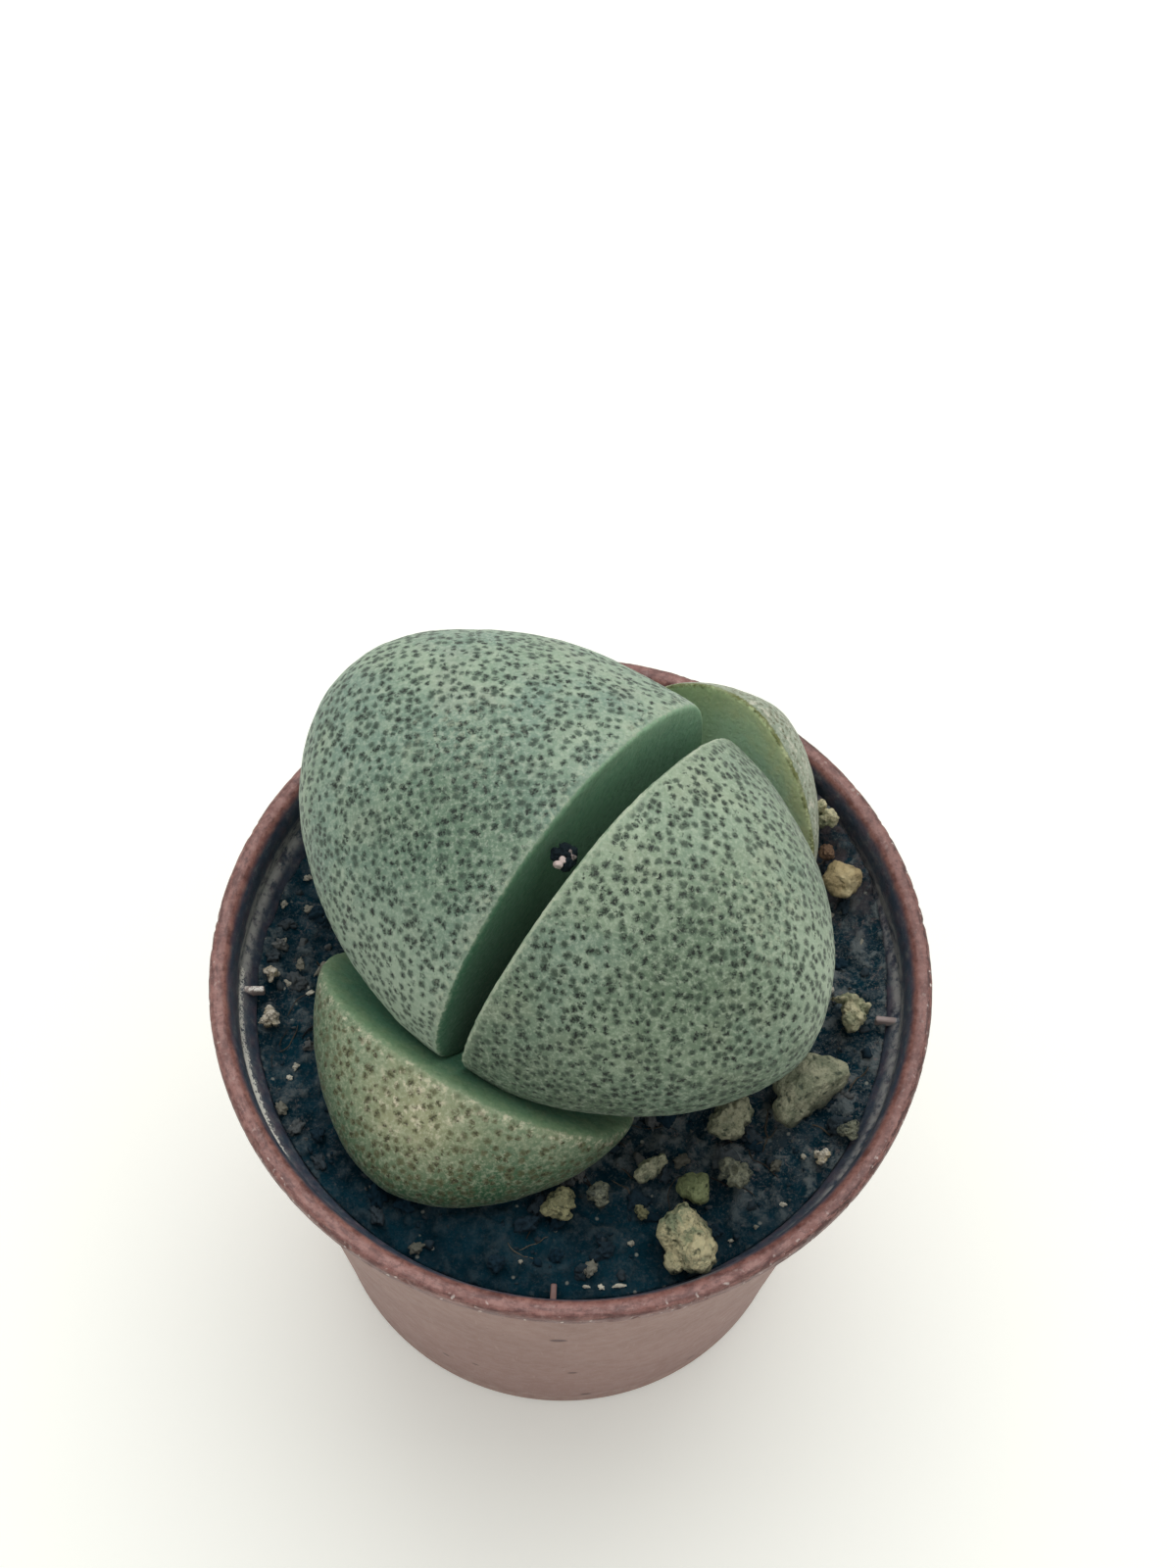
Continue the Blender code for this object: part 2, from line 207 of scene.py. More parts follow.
def dots(g, spacing, radius):
    """Ragged spots, by the distance along the surface from scattered cell centres: halo and dark stroke."""
    shake = g.vector("SUBTRACT", g.noise(3.6, 3, 0.6, colour=True), CENTRED)
    place = g.vector("ADD", g.mm, g.vector("SCALE", shake, scale=0.55))
    cell = g.cells(1 / spacing, 0.75, place)
    gap = g.vector("SUBTRACT", place, cell["Position"])
    normal = g.node("NewGeometry").outputs["Normal"]
    deep = g.vector("DOT_PRODUCT", gap, normal)
    gap = g.vector("SUBTRACT", gap, g.vector("SCALE", normal, scale=deep))
    lot = g.split(cell["Color"])
    scale = g.times_plus(lot[0], 0.5, 0.75)
    away = g.math("DIVIDE", g.vector("LENGTH", gap), scale)
    heading = g.vector("NORMALIZE", g.vector("SUBTRACT", cell["Color"], CENTRED))
    along = g.math("POWER", g.math("DIVIDE", g.vector("DOT_PRODUCT", gap, heading), scale), 2)
    thin = g.math("SQRT", g.times_plus(along, -0.85, g.math("POWER", away, 2)))
    near = g.band(deep, 0, spacing * 0.44, spacing * 0.56)
    spot = g.times(g.fall(away, radius * 0.55, radius * 1.5), near)
    torn = g.nudged(thin, g.noise(7), 0.55)
    core = g.fall(torn, radius * 0.12, radius * 0.66)
    return spot, g.times(core, near, g.span(lot[2], 0.1, 0.7, 0.35, 1))


# After the tones: share of the low tone, painted shade, at the foot, reach of the fringe, share of the edge's
# line, share, spacing and radius of the dots, softness of the edge, a scuffed place with its share, and
# patches, each a place, where it begins and ends to fade, its tone and its share (a patch in the low tone is
# painted shade too).
# Measures are in millimetres.
TONES = "main cool pale warm low bloom dot core rim inner front line fringe"
Skin = namedtuple("Skin", TONES + " lowest reach edging dotting spacing radius seam scuffed patches")
SKINS = {
    "leaf_upper_left": Skin(
        (145, 167, 144), (120, 146, 131), (167, 185, 161), (156, 165, 148), (72, 102, 80), (188, 201, 181),
        (64, 84, 70), (8, 18, 12), (130, 170, 136), (128, 180, 144), (20, 78, 52), (150, 166, 140),
        (180, 192, 168), 0.3, 2.2, 0.3, 1, 0.76, 0.26, 0.15, (-8.2, 8.3, 67.5, 0.5),
        (((-8.5, 1.5, 65.5), 1, 12, "low", 0.7), ((-11.5, -5, 56.5), 1, 9, "pale", 0.7))),
    "leaf_upper_right": Skin(
        (147, 167, 141), (124, 147, 129), (172, 190, 164), (160, 167, 143), (60, 86, 62), (190, 203, 180),
        (62, 80, 64), (8, 16, 10), (106, 140, 110), (110, 154, 122), (20, 76, 50), (188, 198, 174),
        (176, 188, 162), 1, 0.8, 0.7, 1, 0.76, 0.26, 0.15, (12.5, -2.5, 64, 0.7),
        (((8, -6.6, 64.5), 1, 9.5, "low", 0.6), ((15.8, -5, 59), 1, 8, "pale", 0.75),
         ((10.2, 5, 66), 0, 8, "pale", 0.3))),
    "leaf_lower_front": Skin(
        (152, 168, 136), (128, 148, 120), (172, 180, 148), (172, 168, 130), (26, 82, 48), (196, 202, 172),
        (96, 96, 64), (50, 50, 32), (116, 146, 110), (84, 138, 110), (40, 84, 58), (104, 128, 94),
        (240, 232, 204), 1, 2, 0, 0.9, 0.82, 0.25, 1, (-10, -12, 50.5, 0.75),
        (((-10.2, -13.2, 50), 0, 6.5, "warm", 0.7), ((-6, -16.5, 46), 0, 6.5, "low", 0.7))),
    # Painted light: the back leaf's inner and rim tones are very pale, to brighten an inner face shaded by
    # the upper pair.
    "leaf_lower_back": Skin(
        (146, 156, 134), (136, 150, 132), (168, 176, 156), (158, 160, 136), (112, 126, 102), (190, 196, 178),
        (112, 116, 92), (88, 84, 64), (222, 230, 180), (196, 232, 200), (150, 180, 132), (100, 106, 56),
        (214, 212, 194), 0.3, 6, 0.95, 1, 0.55, 0.17, 0.25, None, ()),
}


def leaf_skin(name, skin):
    """Waxy skin: mottled, with painted shade below and at the cleft's front, ragged dots, a pale fringe and a
    plain inner face.
    """
    g = Graph(name, IOR=1.42, Subsurface_Weight=0.08, Subsurface_Radius=(0.8, 1, 0.5), Subsurface_Scale=MM,
              Sheen_Weight=0.1, Sheen_Roughness=0.45, Sheen_Tint=(0.86, 0.92, 0.88, 1))
    edge, along, level = g.attribute("edge"), g.attribute("along"), g.attribute("level")
    patch = g.noise(0.45, 4, 0.6)
    grain = g.noise(3.4, 4, 0.65)
    inner_tone = g.span(g.noise(0.7, 4, 0.6), 0.4, 0.7, -0.6, 0.6)
    g.base(skin.inner, skin.rim, g.rise(g.plus(edge, inner_tone), -4, -0.3))
    # Painted shade over a darker green: the inner face darkens towards the front end of the cleft, where it
    # narrows.
    g.coat(skin.front, g.fall(along, -0.9, 0.5, 0.9))
    g.coat(skin.bloom, g.rise(grain, 0.45, 0.75, 0.15))
    g.coat(skin.front, g.rise(g.noise(1.8, 5, 0.7), 0.45, 0.7, 0.3))
    inner = g.colour
    g.base(skin.main, skin.cool, g.rise(g.noise(0.1), 0.38, 0.62))
    g.coat(skin.pale, g.rise(patch, 0.46, 0.7, 0.75))
    g.coat(skin.warm, g.rise(g.noise(0.26, 3), 0.5, 0.7, 0.5))
    # Painted shade: the low tone darkens the lower part of each leaf.
    g.coat(skin.low, g.fall(g.times_plus(g.noise(0.2), 0.4, level), 0.3, 1.35, skin.lowest))
    g.coat(skin.low, g.rise(g.noise(1.3, 4, 0.65), 0.5, 0.72, 0.35))
    # Patches; those in the low tone are painted shade.
    for place, near, far, key, share in skin.patches:
        g.coat(getattr(skin, key), g.fall(g.nudged(g.distance(place), patch, 8), near, far, share))
    g.coat(skin.bloom, g.rise(grain, 0.42, 0.7, 0.5))
    spot, core = dots(g, skin.spacing, skin.radius)
    clear = g.span(g.noise(0.2, 3), 0.3, 0.6, 0.85, 1)
    faded = g.span(g.times_plus(patch, 0.3, level), 0.3, 0.6, 0.55, 1)
    shown = g.times(clear, g.rise(edge, 0.2, 1, skin.dotting), faded)
    g.coat(skin.dot, spot, shown, 0.9)
    g.coat(skin.core, core, shown)
    worn = g.fall(edge, 0.3, skin.reach, 0.75)
    if skin.scuffed:
        *scuffed, share = skin.scuffed
        away = g.times_plus(g.noise(0.6, 3), 5, g.distance(scuffed))
        worn = g.highest(worn, g.fall(away, 4, 8.5, share))
    g.coat(skin.fringe, g.rise(g.noise(1.5, 5, 0.7), 0.5, 0.66), worn)
    g.coat(skin.fringe, g.rise(g.noise(6.5, 3, 0.7), 0.6, 0.7), g.rise(g.noise(0.4), 0.46, 0.6, 0.55))
    ragged = g.nudged(edge, g.noise(2.6, 4, 0.6), 0.9)
    g.colour = g.mix(g.rise(ragged, -skin.seam - 0.05, skin.seam), inner, g.colour)
    broken = g.span(g.noise(0.5, 3), 0.35, 0.6, 0.4, 1)
    g.coat(skin.line, g.band(ragged, 0, 0.08, 0.4, skin.edging), broken)
    g.set(Roughness=g.span(patch, 0.3, 0.7, 0.5, 0.64), Specular_IOR_Level=0.35)
    relief = g.times_plus(grain, 0.5, g.times(spot, -0.35))
    return g.done(g.times_plus(g.noise(9), 0.2, relief), 0.06)


Grit = namedtuple("Grit", "name slot pale main dark contrast grain lobe", defaults=(2, None))
GRITS = {
    "pumice": Grit("pumice_surface", "pumice", (226, 218, 180), (170, 174, 140), (90, 100, 82), 0.55),
    "pumice_pale": Grit("pumice_front_surface", "pumice", (220, 210, 168), (152, 162, 130), (70, 82, 64),
                        0.75, 1.7, (11.7, -21, 46.6)),
    "perlite": Grit("perlite_surface", "perlite", (246, 238, 222), (214, 200, 168), (112, 104, 88), 0.65),
    "brown": Grit("brown_grit", "grit_brown", (196, 196, 166), (148, 154, 128), (84, 96, 82), 0.65),
    "tan": Grit("tan_grit", "grit_tan", (204, 190, 150), (184, 166, 126), (130, 118, 90), 0.3, 1.2),
    "grey": Grit("grey_grit", "grit_grey", (154, 156, 134), (104, 110, 100), (52, 64, 66), 0.75),
    "moss": Grit("green_grit", "grit_green", (156, 166, 122), (120, 130, 92), (72, 84, 62), 0.6),
    "olive": Grit("olive_grit", "grit_tan", (176, 172, 132), (136, 136, 104), (76, 86, 70), 0.7),
    "umber": Grit("umber_grit", "grit_brown", (150, 122, 98), (116, 92, 76), (74, 62, 58), 0.5),
}


def grit_skin(grit):
    """Weathered stone: grains of three tones, with pits darkened by painted shade, painted shade at the foot,
    and paler at its lobe.
    """
    g = Graph(grit.name, Roughness=0.92, Specular_IOR_Level=0.2)
    contrast, grain = grit.contrast, grit.grain
    place = g.shaken(0.9, 2, 3, 0.6)
    patch = g.noise(0.24 * grain, 4, 0.65)
    fleck = g.noise(1.6 * grain, 6, 0.75)
    cell = g.cells(1.6 * grain, 1, place)
    lot = g.split(cell["Color"])
    smooth = g.fall(g.vector("DISTANCE", place, grit.lobe), 0.9, 2.2, 0.3) if grit.lobe else 0
    g.base(grit.main, grit.pale, g.rise(g.plus(patch, smooth), 0.42, 0.58))
    g.coat(grit.main, g.rise(lot[0], 0.5, 1, contrast * 0.6))
    g.coat(grit.pale, g.rise(lot[1], 0.75, 1, contrast))
    g.coat(grit.dark, g.rise(g.minus(fleck, smooth), 0.5, 0.66, contrast))
    # Painted shade: the pits are darkened.
    hole = g.fall(g.cells(0.62 * grain, 1, place)["Distance"], 0.1, 0.36)
    g.coat(grit.dark, hole, 0.9)
    # Painted shade: the stone darkens towards its foot, where it meets the soil.
    g.coat((54, 62, 60), g.fall(g.times_plus(fleck, 0.5, g.attribute("level")), 0.4, 0.85, 0.8))
    relief = g.times_plus(cell["Distance"], -0.8, fleck)
    return g.done(g.times_plus(hole, -contrast, relief), 0.22)


def peat_skin():
    """Dark damp peat with grey fuzz and purple-brown crumbs, paler towards the right and darker at the front
    with painted shade, and mineral flecks.
    """
    g = Graph("peat_surface", Roughness=0.92, Specular_IOR_Level=0.1)
    x, y, _ = g.split(g.mm)
    # How much of the fuzz shows: little at the front, which is painted shade, and more towards the right.
    side = g.times(g.span(x, -8, 18, 0.65, 1.4), g.span(y, -20, -11, 0.25, 1))
    fuzz = g.noise(1.1, 6, 0.72)
    grain = g.noise(4, 5, 0.75)
    g.base((2, 44, 58), (10, 60, 76), g.rise(g.noise(0.3, 3), 0.35, 0.65))
    g.coat((60, 78, 88), g.rise(g.noise(0.7, 4, 0.65), 0.47, 0.62), side)
    g.coat((118, 128, 130), g.rise(g.times_plus(g.attribute("relief"), 0.35, fuzz), 0.46, 0.72), side)
    g.coat((134, 140, 138), g.rise(grain, 0.52, 0.68), side, 0.6)
    fluff = g.rise(g.noise(2.4, 6, 0.8), 0.53, 0.64)
    g.coat((150, 138, 134), fluff, g.rise(g.noise(0.5), 0.44, 0.56), side, 0.55)
    brown = g.rise(g.noise(0.6, 5, 0.7), 0.42, 0.6, 0.8)
    g.coat((102, 92, 94), g.rise(x, 10, 18), g.rise(y, 2, 12), brown)
    fleck = g.cells(1)
    chosen = g.plus(g.split(fleck["Color"])[0], g.fall(x, -20, -12, 0.2))
    g.coat((178, 180, 170), g.fall(fleck["Distance"], 0.08, 0.2), g.rise(chosen, 0.7, 0.85), 0.8)
    return g.done(g.plus(grain, fuzz), 0.3)


def toned_skin(name, dark, pale):
    """Small loose bits, each with its own tone."""
    g = Graph(name, Roughness=0.9, Specular_IOR_Level=0.2)
    grain = g.noise(4, 4, 0.65)
    g.base(dark, pale, g.attribute("tone"))
    g.coat(dark, g.rise(grain, 0.4, 0.7, 0.3))
    return g.done(grain, 0.12)


# Dark marks on the outer wall: place and size in millimetres.
WALL_MARKS = (
    (0.3, -23.75, 29.4, 0.45), (0.75, -23.75, 29.5, 0.3), (1.75, -22.3, 14.8, 0.32), (3.1, -21.1, 3.4, 0.4),
    (-9.1, -19.8, 9.5, 0.25), (-6.5, -21, 11.3, 0.2), (12.2, -17.5, 4, 0.3), (20.6, 9.4, 24, 0.4),
    (-21.9, 5.8, 18, 0.35), (-4.2, 22.5, 27, 0.4))
SALT_LOW, SALT_HIGH = -2.69, -2.99      # azimuths of the salt line's two runs, in radians
SALT_HEIGHT, LEDGE_HEIGHT = 44.1, 44.3


def wall_colour(g, height, around, mottle, grain):
    """The outer wall: darker below with painted shade, with scratches, dust at the foot, specks and marks."""
    g.base((147, 115, 106), (155, 123, 114), g.rise(g.noise(0.12, 3), 0.35, 0.65))
    # Painted shade: the wall darkens towards its foot.
    g.coat((136, 100, 95), g.fall(height, 4, 36, 0.45))
    g.coat((128, 100, 94), g.rise(mottle, 0.45, 0.75, 0.16))
    g.coat((172, 150, 142), g.rise(grain, 0.5, 0.75, 0.25))
    scratch = g.vector("ADD", g.vector("SCALE", around, scale=70), g.upright(g.times(height, 0.35)))
    g.coat((186, 162, 152), g.rise(g.noise(1, 4, 0.6, scratch), 0.6, 0.75, 0.3))
    g.coat((176, 150, 140), g.fall(g.times_plus(mottle, 6, height), 3.5, 6.5, 0.5))
    dirt = g.cells(0.8)
    chosen = g.rise(g.split(dirt["Color"])[0], 0.55, 0.8)
    g.coat((92, 62, 60), g.fall(dirt["Distance"], 0.04, 0.14), chosen, 0.6)
    for *place, size in WALL_MARKS:
        gap = g.times_plus(mottle, 0.3, g.distance(place))
        g.coat((76, 44, 46), g.fall(gap, size + 0.1, size + 0.4, 0.85))
    return g.colour


def lip_colour(g, x, height, radius, mottle, fine):
    """The lip: streaked and worn, with painted shade on its underside."""
    g.base((152, 108, 100), (130, 86, 79), g.rise(mottle, 0.35, 0.65))
    g.coat((92, 56, 53), g.rise(fine, 0.42, 0.66, 0.9))
    g.coat((112, 72, 64), g.rise(x, 8, 26, 0.4))
    wear = g.noise(2.2, 5, 0.75)
    g.coat((168, 134, 126), g.rise(wear, 0.5, 0.66, 0.35))
    g.coat((84, 48, 46), g.fall(wear, 0.34, 0.48, 0.65))
    # Painted shade on the lip's outer underside.
    g.coat((108, 68, 64), g.fall(height, 46.7, 47.5, 0.7), g.rise(radius, 26.6, 27))
    return g.colour


def inside_colour(g, x, y, height, radius, mottle, fine, right):
    """The inside, dark navy with painted shade, specked, dusty on the ledge, with the stacking ribs in a tone
    of their own.
    """
    # Painted shade: the dark navy tones of the pot's inside.
    g.base((64, 76, 92), (92, 84, 96), g.rise(mottle, 0.4, 0.7))
    speck = g.noise(1.3, 6, 0.75)
    g.coat((128, 132, 130), g.rise(speck, 0.52, 0.64, 0.45))
    g.coat((34, 46, 60), g.fall(speck, 0.36, 0.46, 0.6))
    rear_left = g.times(g.fall(x, -24, -18), g.rise(y, -3, 1))
    dusty = g.highest(g.highest(right, rear_left), 0.25)
    patchy = g.rise(g.plus(g.noise(1.6, 5, 0.72), fine), 0.8, 1.12)
    g.coat((186, 184, 180), dusty, patchy, g.band(height, LEDGE_HEIGHT, 0.6, 1.4, 0.9))
    rib_tone = g.mix(g.fall(y, -22, -20), rgb(156, 140, 136), rgb(124, 94, 88))
    rib = g.times(g.fall(g.times_plus(height, -0.68, radius), -4.8, -4.6), g.fall(height, 44.1, 44.3),
                  g.rise(height, 42.6, 43))
    return g.mix(rib, g.colour, rib_tone)


def pot_skin():
    """Thin moulded plastic: dull and dusty outside, worn and nicked at the lip, darkened inside with painted
    shade.
    """
    g = Graph("pot_moulded", IOR=1.5, Specular_IOR_Level=0.45)
    lip = g.attribute("lip")
    x, y, height = g.split(g.mm)
    flat = g.vector("MULTIPLY", g.mm, (1, 1, 0))
    around = g.vector("NORMALIZE", flat)
    radius = g.vector("LENGTH", flat)
    section = g.upright(g.times(g.minus(radius, height), 2.4))
    streak = g.vector("ADD", g.vector("SCALE", around, scale=16), section)
    mottle = g.noise(0.9, 4, 0.6)
    grain = g.noise(5, 3, 0.6)
    fine = g.noise(1, 4, 0.65, streak)
    right = g.rise(x, 8, 20, 0.75)
    wall, rim = wall_colour(g, height, around, mottle, grain), lip_colour(g, x, height, radius, mottle, fine)
    inner_tone = inside_colour(g, x, y, height, radius, mottle, fine, right)
    # Painted shade: inside the pot the colour turns to the dark inside tone.
    within = g.times(g.fall(g.times_plus(height, -0.7, radius), -4.95, -4.75),
                     g.fall(radius, 25.75, 25.95), g.rise(height, 42.5, 42.9))
    inside_shade = g.nudged(g.highest(g.attribute("inside"), within), mottle, 0.6)
    g.colour = g.mix(g.rise(inside_shade, 0.25, 0.85), g.mix(lip, wall, rim), inner_tone)
    turn = g.math("ARCTAN2", y, x)
    low_left, left = g.band(turn, SALT_LOW, 0.14, 0.22), g.band(turn, SALT_HIGH, 0.14, 0.22, 0.85)
    torn = g.noise(2, 5, 0.8)
    crust = g.plus(torn, g.times_plus(low_left, 0.1, 0.06))
    off = g.times_plus(torn, 2.4, g.math("ABSOLUTE", g.minus(height, SALT_HEIGHT)))
    g.coat((252, 248, 238), g.highest(low_left, left), g.rise(crust, 0.52, 0.56), g.fall(off, 1.6, 1.75))
    nick = g.cells(1.5, 1, g.shaken(0.8, 1.5, 3))
    chosen = g.times_plus(right, 0.25, g.split(nick["Color"])[0])
    chip = g.times(g.fall(nick["Distance"], 0.12, 0.28), g.rise(chosen, 0.5, 0.6), 0.9)
    scuff = g.highest(chip, g.rise(g.noise(2.4, 5, 0.75), 0.62, 0.7, 0.7))
    g.coat((226, 212, 204), scuff, g.span(radius, 26.7, 27.3, 0.15, 1), g.rise(radius, 26.3, 26.6))
    crack = g.rise(g.noise(1.4, 4, 0.7, streak), 0.48, 0.54)
    g.coat((62, 34, 32), crack, g.rise(radius, 26.85, 27.05), g.plus(right, 0.3), 0.8)
    g.set(Roughness=g.times_plus(lip, -0.14, g.span(mottle, 0.3, 0.7, 0.5, 0.62)))
    return g.done(g.plus(g.times_plus(grain, 0.5, mottle), g.times(fine, lip)), 0.06)


def bark_skin():
    """The crown and taproot: dull brown bark."""
    g = Graph("crown_bark", Roughness=0.85)
    g.base((104, 98, 72), (74, 72, 54), g.rise(g.noise(0.8, 4, 0.6), 0.35, 0.65))
    return g.done(g.noise(3, 4), 0.08)


# ---- meshes

def mesh_from(bm, name):
    """Turns a bmesh into a mesh, and frees it."""
    mesh = bpy.data.meshes.new(name)
    bm.to_mesh(mesh)
    bm.free()
    return mesh


def place_object(name, data):
    made = bpy.data.objects.new(name, data)
    bpy.context.scene.collection.objects.link(made)
    return made


def publish(name, mesh, material, slot, *nodes):
    """Turns a mesh in millimetres into a smooth piece in metres, which may replace CAD nodes."""
    mesh.transform(Matrix.Scale(MM, 4))
    mesh.materials.clear()
    mesh.materials.append(material)
    mesh.shade_smooth()
    made = place_object(name, mesh)
    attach(made, "root")
    if nodes:
        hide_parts(*nodes)


def vertex_data(mesh, key):
    values = np.empty(len(mesh.vertices) * 3, np.float32)
    mesh.vertices.foreach_get(key, values)
    return values.reshape(-1, 3)


def points_of(mesh):
    return vertex_data(mesh, "co").astype(float)


def put_points(mesh, co):
    mesh.vertices.foreach_set("co", np.asarray(co, np.float32).ravel())
    mesh.update()


def put_attribute(mesh, name, values):
    layer = mesh.attributes.new(name, "FLOAT", "POINT")
    layer.data.foreach_set("value", np.asarray(values, np.float32))


def put_level(mesh, co, low, high):
    """Tells the shader how high each point lies in its box, from 0 to 1."""
    put_attribute(mesh, "level", (co[:, 2] - low[2]) / (high[2] - low[2]))


def evaluated(mesh, *steps):
    """The mesh after the given modifiers, each (type, settings)."""
    carrier = place_object("carrier", mesh)
    for kind, settings in steps:
        step = carrier.modifiers.new(kind.lower(), kind)
        for key, value in settings.items():
            setattr(step, key, value)
    bpy.context.view_layer.update()
    graph = bpy.context.evaluated_depsgraph_get()
    made = bpy.data.meshes.new_from_object(carrier.evaluated_get(graph))
    bpy.data.objects.remove(carrier, do_unlink=True)
    return made


def box_mm(node):
    low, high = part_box(node)
    return np.array(low) / MM, np.array(high) / MM


def unit(value):
    """The value, kept from 0 to 1."""
    return min(1, max(0, value))


def polar(radius, turn):
    return radius * math.cos(turn), radius * math.sin(turn)


def about_z(degrees):
    return Matrix.Rotation(math.radians(degrees), 3, "Z")


def grid_faces(rows, columns, closed_rows=True, closed_columns=True):
    """Quads between neighbouring points that are numbered row by row."""
    return [(j * columns + i, j * columns + m, k * columns + m, k * columns + i)
            for j, k in pairs(rows, closed_columns) for i, m in pairs(columns, closed_rows)]


def pairs(count, closed):
    return [(i, (i + 1) % count) for i in range(count if closed else count - 1)]


def field(co, scale, octaves=3, shift=0):
    """Fractal noise at each point, about -1 to 1."""
    shift = Vector((shift, shift * 0.7, -shift * 0.4))
    return np.array([noise.fractal(Vector(p) * scale + shift, 1, 2, octaves) for p in co])


# ---- leaves

# Half widths are to the right and the left, rise and depth are heights above and below the centre, corner
# and crest are exponents, drift and lift move the keel, soft is a count of smoothing passes, and blunt is
# how much of the right end goes.
Leaf = namedtuple("Leaf", "centre facing lean right left bulge rise depth corner crest drift lift soft blunt")
LEAVES = {
    "leaf_upper_left": Leaf(
        (0.5, 3.5, 54.5), 145.1, 1.6, 16.9, 16.9, 23.7, 14.1, 8.2, 1.02, 1.09, 0.5, 4, 14, 0.125),
    "leaf_upper_right": Leaf(
        (1.4, 1.9, 54), -35.8, 4.2, 15.4, 16.6, 19.3, 14.8, 8.4, 1.15, 1.10, 0.5, 4, 5, 0),
    "leaf_lower_front": Leaf(
        (-5.7, -7.3, 46.9), -119, 44.4, 14.2, 12.5, 11.7, 8.9, 9, 1.13, 0.95, 0.7, 4.8, 80, 0),
    "leaf_lower_back": Leaf(
        (10.8, 15.1, 47.9), 44.5, 14.1, 10.1, 10.2, 6.9, 10.8, 6.5, 1.35, 1.20, 0.5, 0.8, 10, 0),
}
LEAF_BELLY = 0.85           # the crest exponent of a leaf's underside
LEAF_VOXEL = 0.24
LEAF_ROWS = (240, 140)
FACE_DEPTH = 0.3            # what lies this near the cutting plane is the inner face
BLUNT_FROM = 13
CROWN = ((2.5, 4.7, 43.4), 56, (11.3, 6.3, 2.75))     # centre, azimuth and half sizes
CROWN_FLOOR = 40


def signed_power(value, exponent):
    return np.copysign(np.abs(value) ** exponent, value)


def leaf_points(leaf, co):
    """Points of the unit sphere on the leaf: X along the inner face, Y outward, Z up."""
    level = np.hypot(co[:, 0], co[:, 1])
    turn = np.arctan2(co[:, 1], co[:, 0])
    crest = np.where(co[:, 2] > 0, leaf.crest, LEAF_BELLY)
    ring = level ** crest
    x = signed_power(np.cos(turn), leaf.corner) * ring
    y = signed_power(np.sin(turn), leaf.corner) * ring * leaf.bulge
    z = signed_power(co[:, 2], crest)
    x *= np.where(x > 0, leaf.right, leaf.left)
    z *= np.where(z > 0, leaf.rise, leaf.depth)
    keel = (y / leaf.bulge) ** 2
    return np.stack([x + leaf.drift * keel, y, z + leaf.lift * keel], 1)


def out_of_crown(co):
    """Points inside the crown's dome move out to its surface."""
    centre, azimuth, half = CROWN
    turn = np.array(about_z(azimuth))
    local = (co - centre) @ turn / half
    reach = np.maximum(np.linalg.norm(local, axis=1), 1e-6)
    inside = (reach < 1) & (co[:, 2] > CROWN_FLOOR)
    local[inside] /= reach[inside, None]
    return (local * half) @ turn.T + centre


def make_leaf(name, leaf, material, slot, seed):
    bm = bmesh.new()
    bmesh.ops.create_uvsphere(bm, u_segments=LEAF_ROWS[0], v_segments=LEAF_ROWS[1], radius=1)
    for vert, place in zip(bm.verts, leaf_points(leaf, np.array([v.co for v in bm.verts]))):
        vert.co = place
    everything = list(bm.verts) + list(bm.edges) + list(bm.faces)
    cut = bmesh.ops.bisect_plane(bm, geom=everything, dist=0.001, plane_co=(0, 0, 0),
                                 plane_no=(0, -1, 0), clear_outer=True)
    rim = [e for e in cut["geom_cut"] if isinstance(e, bmesh.types.BMEdge)]
    bmesh.ops.contextual_create(bm, geom=rim)
    bmesh.ops.recalc_face_normals(bm, faces=bm.faces)
    mesh = evaluated(mesh_from(bm, name), ("REMESH", {"mode": "VOXEL", "voxel_size": LEAF_VOXEL}),
                     ("SMOOTH", {"factor": 0.5, "iterations": leaf.soft}))
    local = points_of(mesh)
    height = np.where(local[:, 2] > 0, leaf.rise, leaf.depth)
    width = np.where(local[:, 0] > 0, leaf.right, leaf.left)
    power = 2 / np.where(local[:, 2] > 0, leaf.crest, LEAF_BELLY)
    share = (np.abs(local[:, 0]) / width) ** power + (np.abs(local[:, 2]) / height) ** power
    share = np.clip(share, 1e-4, None) ** (1 / power)
    inward = np.hypot(local[:, 0], local[:, 2]) * np.clip(1 / share - 1, 0, None)
    face = local[:, 1] < FACE_DEPTH
    put_attribute(mesh, "edge", np.where(face, -inward, local[:, 1]))
    put_attribute(mesh, "along", local[:, 0] / width if leaf.rise > 10 else np.ones(len(local)))
    calm = np.clip(np.where(face, 0.35, 0.35 + local[:, 1] / 4), 0, 1)
    swell = 0.16 * field(local, 0.13, 2, seed) + 0.035 * field(local, 0.7, 3, seed + 9)
    local += vertex_data(mesh, "normal") * ((swell - 0.08) * calm)[:, None]
    place = (Matrix.Translation(leaf.centre) @ Matrix.Rotation(math.radians(leaf.facing - 90), 4, "Z")
             @ Matrix.Rotation(math.radians(-leaf.lean), 4, "X"))
    place = np.array(place)
    co = local @ place[:3, :3].T + place[:3, 3]
    low, high = box_mm(name)
    top = np.array([*(low + high)[:2] / 2, high[2]])
    mine = np.array([*(co.min(0) + co.max(0))[:2] / 2, co[:, 2].max() + 0.1])
    cut = leaf.blunt * np.clip(local[:, 0] - BLUNT_FROM, 0, None) ** 2
    co = out_of_crown(co - cut[:, None] * place[:3, 0] + top - mine)
    co[:, 2] = np.maximum(co[:, 2], low[2])
    put_points(mesh, co)
    put_level(mesh, co, low, high)
    publish(name + "_skin", mesh, material, slot, name)


# ---- pot

